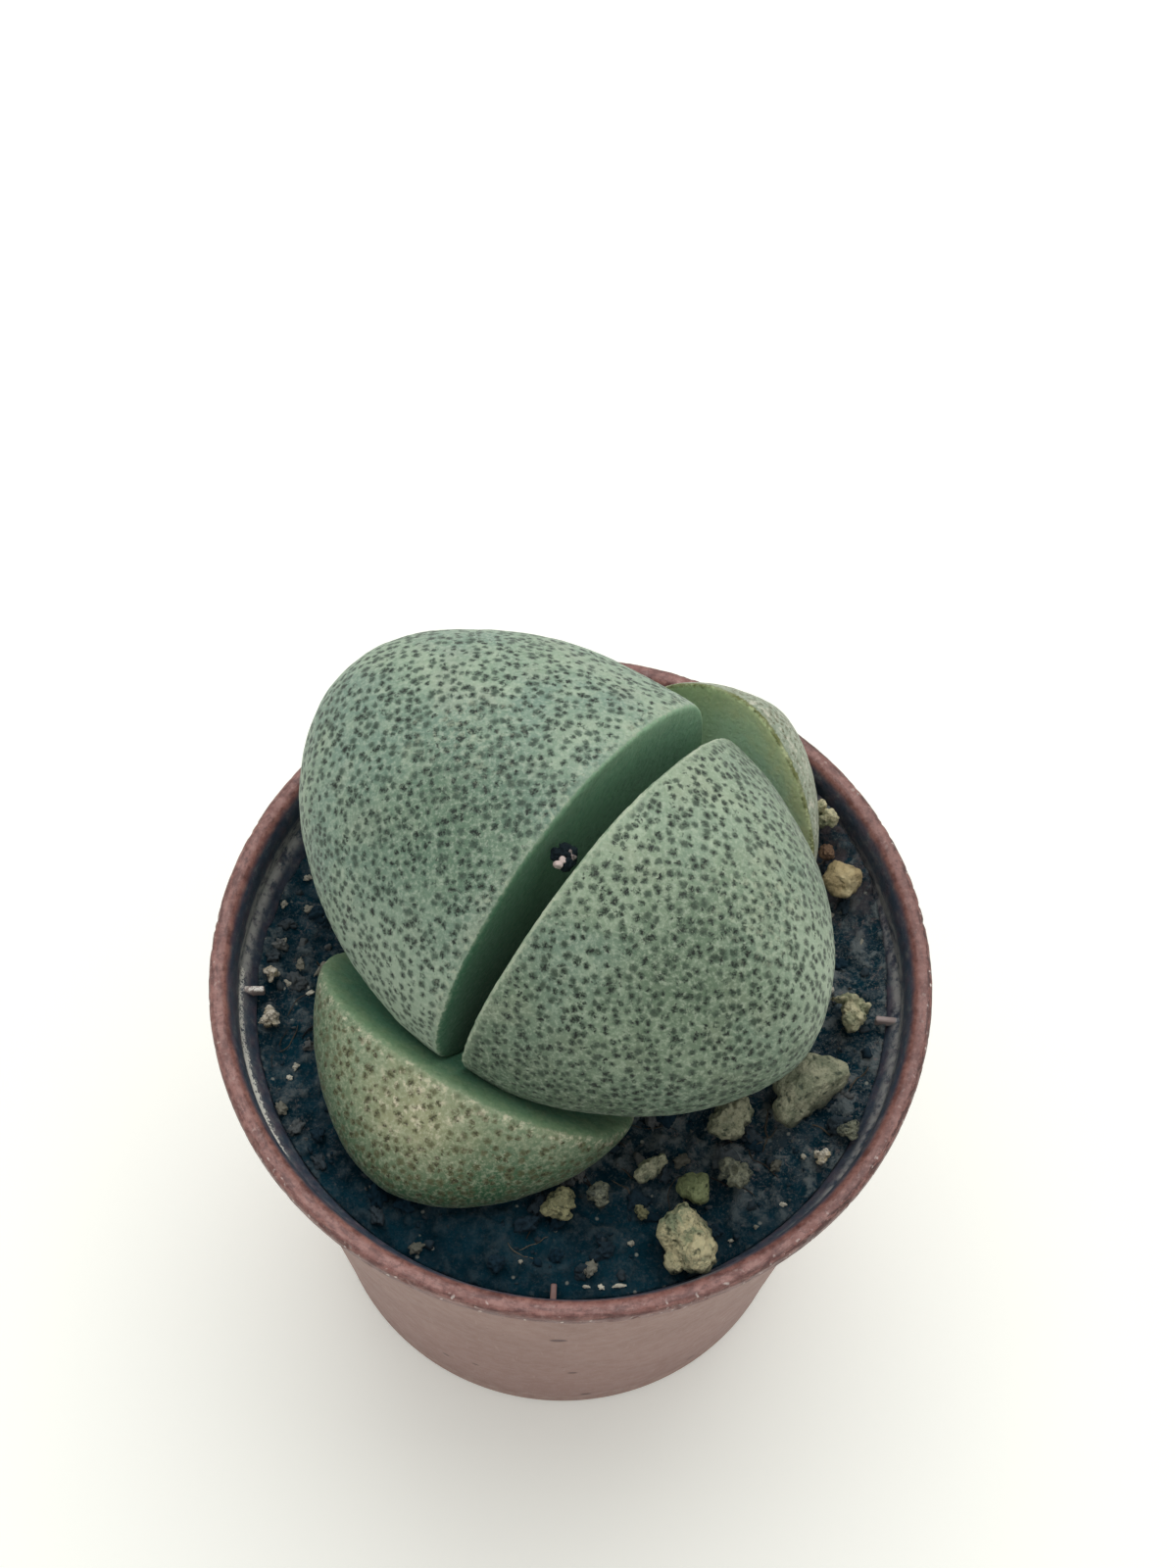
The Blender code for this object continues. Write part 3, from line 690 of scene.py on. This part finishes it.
# Places on the pot's section, each a radius and a height in millimetres.
WALL_TOP, WALL_FOOT = (24.9, 41.5), (21, 0.9)
INNER_TOP, INNER_FOOT = (24.35, 42.2), (20.5, 2.9)
COLLAR_TOP, COLLAR_FOOT = (25.66, 46.3), (25.5, 44)
FOOT_RING, HOLE_RADIUS, FLOOR_UNDER, FLOOR_TOP = 18.85, 1.9, 1, 2
POT_STEPS = 600
DRAINS, DRAIN_CIRCLE = 4, 12.5
LUGS = (-3.5, 90, 183.9, -90.2)           # azimuths of the stacking ribs
LUG_SIZE, LUG_PLACE = (2.1, 0.45, 0.95), (24.65, 0, 43.4)


def arc(centre, radius, start, end, count):
    angles = np.radians(np.linspace(start, end, count + 1))
    return [(centre[0] + radius * math.cos(a), centre[1] + radius * math.sin(a)) for a in angles]


def straight(first, last, shares):
    return [[a + (b - a) * share for a, b in zip(first, last)] for share in shares]


def pot_profile(lip, top):
    """Section of the pot as (radius, height, inside, lip), from the lip down the outer side and back up."""
    rows = [(*p, 0, 1) for p in arc((lip - 0.45, top - 0.45), 0.45, 90, 0, 6)]
    rows += [(*p, 0, 1) for p in arc((lip - 0.3, top - 1.1), 0.3, 0, -70, 4)]
    rows += [(lip - 0.62, top - 1.4, 0, 0.9), (lip - 1.2, top - 1.45, 0, 0.4), (lip - 1.33, top - 1.75, 0, 0)]
    rows += [(lip - 1.36, z, 0, 0) for z in np.linspace(top - 2.2, 43.9, 4)]
    rows += [(lip - 1.42, 43.5, 0, 0), (24.95, 41.9, 0, 0), (*WALL_TOP, 0, 0)]
    rows += [(*p, 0, 0) for p in straight(WALL_TOP, WALL_FOOT, np.linspace(0.05, 1, 24))]
    rows += [(*p, 0, 0) for p in arc((20.25, 0.8), 0.8, -10, -90, 6)]
    rows += [(FOOT_RING + 0.2, 0, 0, 0), (FOOT_RING, FLOOR_UNDER, 0, 0), (HOLE_RADIUS, FLOOR_UNDER, 0, 0)]
    rows += [(HOLE_RADIUS, FLOOR_TOP, 1, 0), (19.6, FLOOR_TOP, 1, 0)]
    rows += [(*p, 1, 0) for p in straight(INNER_FOOT, INNER_TOP, np.linspace(0, 1, 16))]
    rows += [(24.45, 42.5, 1, 0), (25.3, 43.75, 1, 0), (*COLLAR_FOOT, 1, 0)]
    rows += [(*p, 1, 0) for p in straight(COLLAR_FOOT, COLLAR_TOP, np.linspace(0.15, 1, 7))]
    rows += [(25.72, 46.7, 1, 0.6), (25.84, 47.1, 0.9, 1), (26, 47.5, 0.65, 1), (26.2, 47.8, 0.35, 1)]
    rows += [(26.45, 47.96, 0.1, 1), (26.75, top, 0, 1)]
    return np.array(rows)


def pot_tools():
    """What is cut from the pot's floor and what is joined to its ledge, each (operation, object)."""
    tools = []
    for i in range(DRAINS):
        x, y = polar(DRAIN_CIRCLE, math.tau * (i + 0.5) / DRAINS)
        bm = bmesh.new()
        bmesh.ops.create_cone(bm, cap_ends=True, segments=48, radius1=HOLE_RADIUS, radius2=HOLE_RADIUS,
                              depth=4)
        bmesh.ops.translate(bm, verts=bm.verts, vec=(x, y, 1.5))
        tools.append(("DIFFERENCE", mesh_from(bm, "pot_tool")))
    for azimuth in LUGS:
        bm = bmesh.new()
        bmesh.ops.create_cube(bm, size=1)
        bmesh.ops.scale(bm, verts=bm.verts, vec=LUG_SIZE)
        bmesh.ops.bevel(bm, geom=list(bm.edges), offset=0.13, segments=3, profile=0.5, affect="EDGES")
        bmesh.ops.translate(bm, verts=bm.verts, vec=LUG_PLACE)
        bmesh.ops.rotate(bm, verts=bm.verts, cent=(0, 0, 0), matrix=about_z(azimuth))
        mesh = mesh_from(bm, "pot_tool")
        put_attribute(mesh, "inside", np.ones(len(mesh.vertices)))
        put_attribute(mesh, "lip", np.zeros(len(mesh.vertices)))
        tools.append(("UNION", mesh))
    return [(operation, place_object("pot_tool", mesh)) for operation, mesh in tools]


def make_pot():
    low, high = box_mm("pot")
    reach, top = (high[0] - low[0]) / 2, high[2]
    rows = pot_profile(reach, top)
    points = []
    for turn in np.linspace(0, math.tau, POT_STEPS, endpoint=False):
        out = Vector((*polar(1, turn), 0))
        oval = 0.5 + 0.5 * noise.fractal(out * 1.1, 1, 2, 2)
        wave = 0.5 + 0.5 * noise.fractal(out * 2.3 + Vector((4, 0, 0)), 1, 2, 2)
        for r, z, _, lip in rows:
            share = unit((z - 38) / 9)
            here = out * r
            chip = noise.fractal(Vector((here.x * 1.4, here.y * 1.4, z * 2)), 1, 2, 4)
            outer = 1 if (r > reach - 0.5 and lip > 0) else 0.12
            r -= share * 0.22 * oval + outer * (0.02 + 0.02 * chip + 0.4 * max(0, chip - 0.32)) * (lip > 0)
            z -= share * 0.12 * wave + 0.03 * lip * (1 + chip)
            points.append((out.x * r, out.y * r, z))
    mesh = bpy.data.meshes.new("pot_shell")
    mesh.from_pydata(points, [], grid_faces(POT_STEPS, len(rows)))
    put_attribute(mesh, "inside", np.tile(rows[:, 2], POT_STEPS))
    put_attribute(mesh, "lip", np.tile(rows[:, 3], POT_STEPS))
    tools = pot_tools()
    made = evaluated(mesh, *(("BOOLEAN", {"operation": operation, "solver": "EXACT", "object": tool})
                             for operation, tool in tools))
    for _, tool in tools:
        bpy.data.objects.remove(tool, do_unlink=True)
    publish("pot_shell", made, pot_skin(), "pot_plastic", "pot")


# ---- soil

SOIL_TOP = 42.5
SOIL_BOTTOM_REACH = 20.2
SOIL_REACH = 24.3
COLLAR_REACH = 25.15                        # of the soil that is heaped above the ledge
COLLAR_FROM, COLLAR_WIDTH = 0.85, 0.15      # where on the way out it widens to that
SOIL_GRID = 236
BANK = (42, 32, 4, 20)              # the heap at the rear right: azimuth, spread, height, start radius


def soil_height(x, y):
    wave = 0.6 * math.sin(x / 5.2) * math.cos(y / 6.1) + 0.4 * math.sin((x + y) / 4.3)
    radius = math.hypot(x, y)
    fade = unit((23.35 - radius) / 4)
    azimuth, spread, rise, start = BANK
    climb = unit((radius - start) / (25.5 - start))
    away = math.degrees(math.atan2(y, x)) - azimuth
    return SOIL_TOP + 0.3 * wave * fade + rise * climb ** 1.5 * math.exp(-(away / spread) ** 2)


def roughness(x, y):
    """Clods and crumbs of the peat, in millimetres above or below its mean height."""
    spot = Vector((x, y, 0))
    bent = spot + 0.5 * Vector((noise.noise(spot * 0.8), noise.noise(spot * 0.8 + Vector((9, 0, 0))), 0))
    clod = noise.fractal(spot * 0.35, 1, 2, 3)
    crumb = 0.55 - noise.voronoi(bent * 0.62 + Vector((0, 0, 3.3)))[0][0]
    bead = 0.5 - noise.voronoi(bent * 1.35 + Vector((5, 0, 0)))[0][0]
    small = 0.45 - noise.voronoi(spot * 2.9)[0][0]
    fine = noise.fractal(spot * 4, 1, 2, 3)
    return 0.5 * clod + 0.62 * crumb + 0.42 * bead + 0.17 * small + 0.08 * fine


def ground(x, y):
    return soil_height(x, y) + roughness(x, y)


def disc_point(u, v):
    """A point of the square from -1 to 1 moved into the disc, with equal areas."""
    if abs(u) > abs(v):
        return u, math.pi / 4 * v / u
    if v:
        return v, math.pi / 2 - math.pi / 4 * u / v
    return 0, 0


def make_soil():
    bm = bmesh.new()
    line = np.linspace(-1, 1, SOIL_GRID)
    verts = []
    for v in line:
        for u in line:
            radius, turn = disc_point(u, v)
            x, y = polar(radius, turn)
            reach = SOIL_REACH
            if abs(radius) > COLLAR_FROM:
                wide = unit((soil_height(x * reach, y * reach) - SOIL_TOP) / 2)
                reach += (COLLAR_REACH - reach) * wide * (abs(radius) - COLLAR_FROM) / COLLAR_WIDTH
            x, y = x * reach, y * reach
            verts.append(bm.verts.new((x, y, ground(x, y))))
    for face in grid_faces(SOIL_GRID, SOIL_GRID, False, False):
        bm.faces.new([verts[i] for i in face])
    rim = [e for e in bm.edges if e.is_boundary]
    for level, reach in ((SOIL_TOP - 0.9, SOIL_REACH), (box_mm("soil")[0][2], SOIL_BOTTOM_REACH)):
        made = bmesh.ops.extrude_edge_only(bm, edges=rim)["geom"]
        for v in (g for g in made if isinstance(g, bmesh.types.BMVert)):
            scale = reach / math.hypot(v.co.x, v.co.y)
            v.co = (v.co.x * scale, v.co.y * scale, level)
        rim = [g for g in made if isinstance(g, bmesh.types.BMEdge)]
    bmesh.ops.contextual_create(bm, geom=rim)
    bmesh.ops.recalc_face_normals(bm, faces=bm.faces)
    mesh = mesh_from(bm, "peat_bed")
    put_attribute(mesh, "relief", [roughness(x, y) for x, y, _ in points_of(mesh)])
    publish("peat_bed", mesh, peat_skin(), "peat", "soil")


# ---- loose bits

def lump_points(subdivisions, seed, rough, grain):
    bm = bmesh.new()
    bmesh.ops.create_icosphere(bm, subdivisions=subdivisions, radius=1)
    shift = Vector((seed * 1.7, -seed * 2.3, seed * 0.9))
    for vert in bm.verts:
        spot = vert.co * grain
        push = noise.fractal(spot + shift, 1, 2, 4) + 0.5 * abs(noise.noise(spot * 2.6 - shift))
        vert.co *= 1 + rough * push
    co = np.array([v.co for v in bm.verts])
    faces = [[v.index for v in f.verts] for f in bm.faces]
    bm.free()
    return co, faces


def gather(name, pieces, material, slot, *nodes):
    """One mesh of many loose bits, each (points, faces, tone)."""
    points, faces, tones, start = [], [], [], 0
    for co, fs, tone in pieces:
        points.append(co)
        faces += [[i + start for i in f] for f in fs]
        tones += [tone] * len(co)
        start += len(co)
    mesh = bpy.data.meshes.new(name)
    mesh.from_pydata(np.concatenate(points).tolist(), [], faces)
    put_attribute(mesh, "tone", tones)
    publish(name, mesh, material, slot, *nodes)


def spin():
    """A random turn of a loose bit."""
    a, b, c = draw.uniform(0, math.tau, 3)
    return np.array(Matrix.Rotation(a, 3, "Z") @ Matrix.Rotation(b, 3, "X") @ Matrix.Rotation(c, 3, "Y"))


def draw_spot(least, reach):
    """A random place within reach, spread evenly, and none right at the middle."""
    radius = math.sqrt(draw.uniform(least, 1)) * reach
    return polar(radius, draw.uniform(0, math.tau))


CRUMBS, FIBRES, FIBRE_POINTS = 620, 110, 9
BITS_REACH = 23.6
# Painted shade: crumbs at the front of the pot are given darker tones.
DARK_BELOW = -17        # crumbs nearer the front than this are darker
STRAND_SIDES = 6


def make_crumbs():
    pieces = []
    for i in range(CRUMBS):
        x, y = draw_spot(0.05, BITS_REACH)
        size = 0.14 + 0.7 * draw.random() ** 4
        co, faces = lump_points(4 if size > 0.45 else 2, i, 0.8, 1.3)
        co = (co * (1, draw.uniform(0.6, 1), draw.uniform(0.5, 0.8))) @ spin() * size
        tone = draw.random() ** 2 * (0.25 if y < DARK_BELOW else 1)
        pieces.append((co + (x, y, ground(x, y) + size * 0.25), faces, tone))
    gather("peat_crumbs", pieces, toned_skin("crumb_surface", (16, 44, 58), (112, 114, 112)), "peat")


def strand(path, radius):
    """A thin tapered tube along a path of points."""
    points = []
    count, sides = len(path), STRAND_SIDES
    for i, p in enumerate(path):
        ahead = path[min(i + 1, count - 1)] - path[max(i - 1, 0)]
        across = ahead.cross(Vector((0.1, 0.2, 1))).normalized()
        over = ahead.cross(across).normalized()
        thin = radius * (0.35 + 0.65 * math.sin(math.pi * (i + 0.6) / (count + 0.2)))
        for s in range(sides):
            c, d = polar(1, math.tau * s / sides)
            points.append(p + (across * c + over * d) * thin)
    ends = [tuple(reversed(range(sides))), tuple((count - 1) * sides + s for s in range(sides))]
    return np.array(points), grid_faces(count, sides, closed_columns=False) + ends


def make_fibres():
    pieces = []
    for _ in range(FIBRES):
        spot = Vector((*draw_spot(0.1, 22.8), 0))
        heading = draw.uniform(0, math.tau)
        length = draw.uniform(1, 4.2)
        path = []
        for k in range(FIBRE_POINTS):
            path.append(Vector((spot.x, spot.y, ground(spot.x, spot.y) + 0.08 + 0.12 * math.sin(k))))
            heading += draw.normal(0, 0.28)
            spot += Vector((*polar(1, heading), 0)) * length / (FIBRE_POINTS - 1)
            if spot.length > BITS_REACH:
                spot *= BITS_REACH / spot.length
        co, faces = strand(path, draw.uniform(0.04, 0.09))
        pieces.append((co, faces, draw.random() ** 1.6))
    gather("peat_fibres", pieces, toned_skin("fibre_surface", (30, 33, 38), (122, 112, 96)), "peat")


# Pale grains too small for CAD: x, y, length, width, heading in degrees, tone.
GRAINS = (
    (-23, 6.3, 0.9, 0.6, 60, 0.45), (-21.4, 8.8, 0.8, 0.6, 10, 0.5), (-20.9, 5.8, 1, 0.8, 0, 0.3),
    (-19.7, 5.3, 0.9, 0.5, 120, 0.7), (-22.6, 3.1, 0.8, 0.5, 80, 0.35), (-21.1, 1, 1.2, 0.8, 100, 0.25),
    (-19.5, 0.8, 2, 0.6, 55, 0.3), (-20.1, -1.3, 0.8, 0.5, 20, 0.9), (-21.9, -0.6, 0.9, 0.5, 140, 0.5),
    (-20.6, -7.4, 0.8, 0.5, 60, 0.6), (-21, -8.4, 0.6, 0.5, 0, 0.85), (-21.3, -10.9, 1.3, 0.9, 130, 0.2),
    (-20.3, -12.3, 0.5, 0.4, 0, 0.6), (5.4, -19.9, 0.6, 0.5, 0, 0.55), (3.3, -20.6, 1.1, 0.7, 10, 0.3),
    (3.4, -23.3, 0.7, 0.5, 10, 1), (4.7, -23.2, 1.3, 0.35, 8, 0.8), (2.3, -23.3, 0.9, 0.3, -4, 0.7),
    (2.5, -22.1, 1.5, 1.2, 70, 0.25), (18.1, -12.6, 0.6, 0.4, 120, 0.6), (16.6, -16.3, 0.7, 0.5, 0, 0.7),
    (-2.6, -21.9, 0.4, 0.4, 0, 0.5), (12.8, -19.2, 0.5, 0.4, 0, 0.5), (20.2, 7.6, 0.7, 0.6, 0, 0.5),
    (-10.3, -21.2, 1.4, 1, 30, 0.12), (20.4, 1.3, 0.7, 0.3, 90, 0.8), (22.6, 5.2, 0.9, 0.3, 80, 0.35),
    (14.6, -18.2, 0.5, 0.4, 0, 0.3), (9, -13.2, 1.5, 1.1, 20, 0.15), (16, -13.4, 1.2, 1, 60, 0.12),
)


def make_grains():
    pieces = []
    for i, (x, y, length, width, heading, tone) in enumerate(GRAINS):
        co, faces = lump_points(4, i * 3 + 2, 0.75, 1.3)
        co = co / np.abs(co).max(0) * (length / 2, width / 2, width * 0.38)
        co = co @ np.array(about_z(heading)).T
        pieces.append((co + (x, y, ground(x, y) + width * 0.22), faces, tone))
    gather("pale_grains", pieces, toned_skin("grain_surface", (62, 66, 58), (232, 226, 208)), "perlite")


def seat(co, node):
    """Fits points into the box of the CAD node that they stand for."""
    low, high = box_mm(node)
    mine = co.min(0), co.max(0)
    return (co - mine[0]) / (mine[1] - mine[0]) * (high - low) + low


# Stones in the box of their CAD node, where 100 is half the box, X goes right and Y to the rear. A lobe is a
# centre and half sizes. A flat is a plane that presses the stone in, by its normal and distance.
Rock = namedtuple("Rock", "look rough flats seed lobes")
ROCKS = {
    "pumice_front": Rock("pumice_pale", 0.17, ((75, 75, 40, 72),), 3, (
        (-50, 20, -10, 52, 66, 80), (-8, 50, 0, 70, 50, 85), (38, -30, 0, 66, 68, 95),
        (50, 30, -10, 48, 50, 80), (-42, -55, -30, 36, 34, 50), (0, 10, 0, 70, 70, 85),
        (-10, -30, 0, 40, 40, 70))),
    "grit_green": Rock("moss", 0.13, (), 7, (
        (-20, 10, 0, 75, 80, 90), (45, 20, 0, 55, 70, 80), (40, -40, 0, 55, 55, 80))),
    "grit_brown_large": Rock("brown", 0.1, (
        (62, -75, 25, 30), (-70, 50, 50, 70), (30, 40, 86, 66)), 11, (
        (55, 45, 0, 55, 60, 85), (10, 20, 0, 90, 80, 95), (-55, -55, -10, 50, 50, 75),
        (-45, 25, 0, 60, 75, 90), (-20, -25, 0, 70, 66, 85))),
    "grit_brown_under_leaf": Rock("brown", 0.2, ((-60, 60, 50, 60), (20, -30, 90, 60)), 5, (
        (-30, -20, 0, 70, 78, 90), (42, 25, -10, 60, 72, 80), (20, -45, -20, 50, 50, 60))),
    "grit_tan_rear": Rock("tan", 0.1, (
        (-80, 30, 35, 74), (35, 85, 40, 72), (75, -55, 30, 74), (-30, -80, 50, 76)), 8, (
            (0, 0, 0, 100, 100, 100), (40, 10, 0, 60, 60, 80))),
    "pumice_rear": Rock("pumice", 0.2, ((70, 60, 30, 60),), 21, (
        (-40, 55, 0, 50, 50, 80), (35, -30, 10, 62, 62, 90), (-25, -60, -10, 50, 40, 70))),
    "grit_brown_rear": Rock("umber", 0.16, (), 9, ((0, 0, 0, 90, 90, 90), (30, -40, 0, 60, 50, 70))),
    "grit_rough_right": Rock("pumice", 0.24, ((-20, 90, 40, 70),), 31, (
        (-55, 62, 20, 50, 30, 60), (10, -30, 0, 68, 68, 90), (52, 25, -10, 45, 42, 70),
        (10, 40, 0, 50, 40, 80))),
    "grit_front_left": Rock("olive", 0.24, ((90, 30, 30, 62),), 14, (
        (-10, 0, 0, 80, 85, 95), (-50, -30, 10, 45, 50, 70), (30, 60, 0, 50, 40, 70),
        (20, -60, -10, 50, 40, 60))),
    "grit_front_middle": Rock("grey", 0.22, (), 15, (
        (10, 50, 0, 60, 55, 80), (-10, -10, 10, 70, 50, 90), (20, -70, -10, 50, 35, 70))),
    "grit_middle": Rock("brown", 0.2, ((-50, 80, 30, 40), (60, -70, 30, 42)), 16, (
        (55, 50, 0, 50, 45, 70), (0, 0, 0, 70, 65, 95), (-50, -50, -10, 50, 50, 70))),
    "grit_tan_small": Rock("olive", 0.24, (), 17, (
        (-30, 30, 10, 60, 60, 80), (40, -20, 0, 50, 60, 80), (0, -60, -10, 50, 40, 60))),
    "grit_grey": Rock("grey", 0.26, (), 18, (
        (-30, 40, 0, 60, 55, 80), (40, 10, 0, 55, 60, 90), (0, -50, 0, 60, 50, 80),
        (-60, -20, -20, 35, 35, 50))),
    "perlite_right": Rock("perlite", 0.34, (), 19, (
        (-30, 40, 0, 60, 50, 70), (40, 30, 10, 50, 50, 90), (10, -50, 0, 50, 50, 70))),
    "grit_right_edge": Rock("grey", 0.24, (), 22, (
        (-40, -10, 0, 60, 70, 80), (40, 30, 0, 60, 50, 80), (20, -50, -10, 50, 40, 60))),
    "perlite_left_rear": Rock("perlite", 0.36, (), 24, (
        (-20, 50, 0, 60, 50, 80), (20, -10, 10, 70, 50, 90), (10, -70, -10, 40, 35, 60),
        (75, 10, -20, 25, 30, 40))),
    "perlite_left_front": Rock("perlite", 0.38, (), 27, (
        (-10, 60, 0, 55, 40, 70), (30, 0, 10, 60, 60, 90), (-30, -50, 0, 50, 50, 70),
        (60, -40, -20, 35, 40, 50))),
}


def merged(lobes, half, voxel):
    """One closed skin round lobes, in millimetres, where half is half the box that they fill."""
    bm = bmesh.new()
    for lobe in lobes:
        made = bmesh.ops.create_icosphere(bm, subdivisions=3, radius=1)["verts"]
        bmesh.ops.scale(bm, verts=made, vec=Vector(np.array(lobe[3:]) / 100 * half))
        bmesh.ops.translate(bm, verts=made, vec=Vector(np.array(lobe[:3]) / 100 * half))
    return evaluated(mesh_from(bm, "lobes"), ("REMESH", {"mode": "VOXEL", "voxel_size": voxel}),
                     ("SMOOTH", {"iterations": 2}))


def roughen(mesh, size, amount, seed):
    """Pushes a small mesh out and in along its normals, coarse and fine."""
    co = points_of(mesh)
    push = 1.1 * field(co, 0.9 / size, 3, seed) + 0.8 * field(co, 2.6 / size, 4, seed + 5)
    pits = np.array([noise.voronoi(Vector(p) * (1.9 / size) + Vector((seed, 1, 4)))[0][0] for p in co])
    push -= 1.1 * np.clip(0.4 - pits, 0, None)
    return co + vertex_data(mesh, "normal") * (push * amount * size)[:, None]


def make_rock(node, rock, looks):
    low, high = box_mm(node)
    half = (high - low) / 2
    size = float(half.mean())
    mesh = merged(rock.lobes, half, size / 15)
    co = points_of(mesh) / half
    for flat in rock.flats:
        *normal, distance = np.array(flat) / 100
        normal = np.array(normal) / np.linalg.norm(normal)
        co -= normal * (np.clip(co @ normal - distance, 0, None) * 0.9)[:, None]
    put_points(mesh, co * half)
    co = seat(roughen(mesh, size, rock.rough, rock.seed), node)
    put_points(mesh, co)
    put_level(mesh, co, low, high)
    publish(node + "_stone", mesh, looks[rock.look], GRITS[rock.look].slot, node)


# The crumb in the cleft: dark peat, then two pale grains on it, each a seed, a tone and lobes.
CLEFT_CRUMB = (
    (41, 0, ((-40, 20, -10, 60, 50, 70), (20, 30, 0, 70, 60, 70), (10, -40, -10, 50, 50, 60),
             (70, 50, 0, 30, 30, 40))),
    (42, 0.9, ((-30, -70, 25, 28, 25, 30), (-15, -50, 30, 20, 20, 25))),
    (43, 0.45, ((70, -10, 50, 25, 30, 30), (55, 20, 60, 20, 20, 25))),
)


def make_cleft_crumb():
    node = "crumb_in_cleft"
    low, high = box_mm(node)
    middle, half = (low + high) / 2, (high - low) / 2
    pieces = []
    for seed, tone, lobes in CLEFT_CRUMB:
        mesh = merged(lobes, half, 0.06)
        co = np.clip(roughen(mesh, 0.8, 0.3, seed) + middle, low, high)
        pieces.append((co, [list(f.vertices) for f in mesh.polygons], tone))
    skin = toned_skin("cleft_crumb_surface", (22, 34, 40), (226, 206, 200))
    gather("cleft_crumb", pieces, skin, "grit_grey", node)


# ---- stage

FLOOR_SIZE = 30
FLOOR_GLOW = (250, 900, 0.19, 0.5)      # brighter away from the object: from and to which reach, in mm
SKY_STRENGTH = 0.52
LAMP_PLACE, LAMP_SIZE, LAMP_POWER, LAMP_TARGET = (0.03, 0.34, 0.86), 0.9, 5.2, (0, 0, 0.05)
CAMERA_PLACE = (0.51, -74.68, 210.51)
CAMERA_AXES = ((0.9987, 0.0452, 0.0251), (-0.0517, 0.8732, 0.4846), (0, -0.4852, 0.8744))
LENS, SENSOR = 54.09, 36
DIRECT_RAYS = ("Is Camera Ray", "Is Glossy Ray", "Is Transmission Ray")


def make_floor():
    bpy.ops.mesh.primitive_plane_add(size=FLOOR_SIZE)
    floor = bpy.context.object
    floor.name = "floor"
    g = Graph("table_white", Roughness=0.75, Specular_IOR_Level=0.2, Base_Color=(0.94, 0.96, 0.9, 1),
              Emission_Color=(1, 1, 0.97, 1))
    rays = g.node("LightPath").outputs
    camera, glossy, through = (rays[ray] for ray in DIRECT_RAYS)
    seen = g.plus(camera, g.plus(glossy, through))
    g.set(Emission_Strength=g.times(seen, g.span(g.vector("LENGTH", g.mm), *FLOOR_GLOW)))
    floor.data.materials.append(g.material)


def make_sky():
    """Soft light all round, which the camera sees as plain white."""
    world = bpy.data.worlds.new("studio")
    world.use_nodes = True
    tree = world.node_tree
    sky, rays = tree.nodes["Background"], tree.nodes.new("ShaderNodeLightPath").outputs
    sky.inputs["Color"].default_value = (1, 0.995, 0.97, 1)
    sky.inputs["Strength"].default_value = SKY_STRENGTH
    white = tree.nodes.new("ShaderNodeBackground")
    white.inputs["Color"].default_value = (1, 1, 1, 1)
    seen = rays[DIRECT_RAYS[0]]
    for ray in DIRECT_RAYS[1:]:
        either = tree.nodes.new("ShaderNodeMath")
        either.operation = "MAXIMUM"
        tree.links.new(seen, either.inputs[0])
        tree.links.new(rays[ray], either.inputs[1])
        seen = either.outputs[0]
    blend = tree.nodes.new("ShaderNodeMixShader")
    for socket, source in zip(blend.inputs, (seen, sky.outputs[0], white.outputs[0])):
        tree.links.new(source, socket)
    tree.links.new(blend.outputs[0], tree.nodes["World Output"].inputs["Surface"])
    bpy.context.scene.world = world


def make_lamp():
    data = bpy.data.lights.new("key", "AREA")
    data.size, data.energy = LAMP_SIZE, LAMP_POWER
    lamp = place_object("key", data)
    lamp.location = LAMP_PLACE
    lamp.rotation_euler = (Vector(LAMP_TARGET) - Vector(LAMP_PLACE)).to_track_quat("-Z", "Y").to_euler()


def make_camera():
    data = bpy.data.cameras.new("camera")
    data.sensor_width = SENSOR
    data.lens = LENS
    data.clip_start = 0.01
    camera = place_object("camera", data)
    turn = Matrix(CAMERA_AXES).transposed()
    camera.matrix_world = Matrix.Translation(Vector(CAMERA_PLACE) * MM) @ turn.to_4x4()
    bpy.context.scene.camera = camera


def build():
    make_camera()
    make_floor()
    make_sky()
    make_lamp()
    make_pot()
    make_soil()
    for seed, (name, leaf) in enumerate(LEAVES.items()):
        slot = "leaf_skin_old" if "lower" in name else "leaf_skin"
        make_leaf(name, leaf, leaf_skin(name + "_wax", SKINS[name]), slot, seed * 5)
    looks = {key: grit_skin(grit) for key, grit in GRITS.items()}
    for node, rock in ROCKS.items():
        make_rock(node, rock, looks)
    make_cleft_crumb()
    make_crumbs()
    make_fibres()
    make_grains()
    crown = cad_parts["crown_and_taproot"]
    crown.data.materials[0] = bark_skin()
    bpy.context.scene.view_settings.view_transform = "Standard"


build()
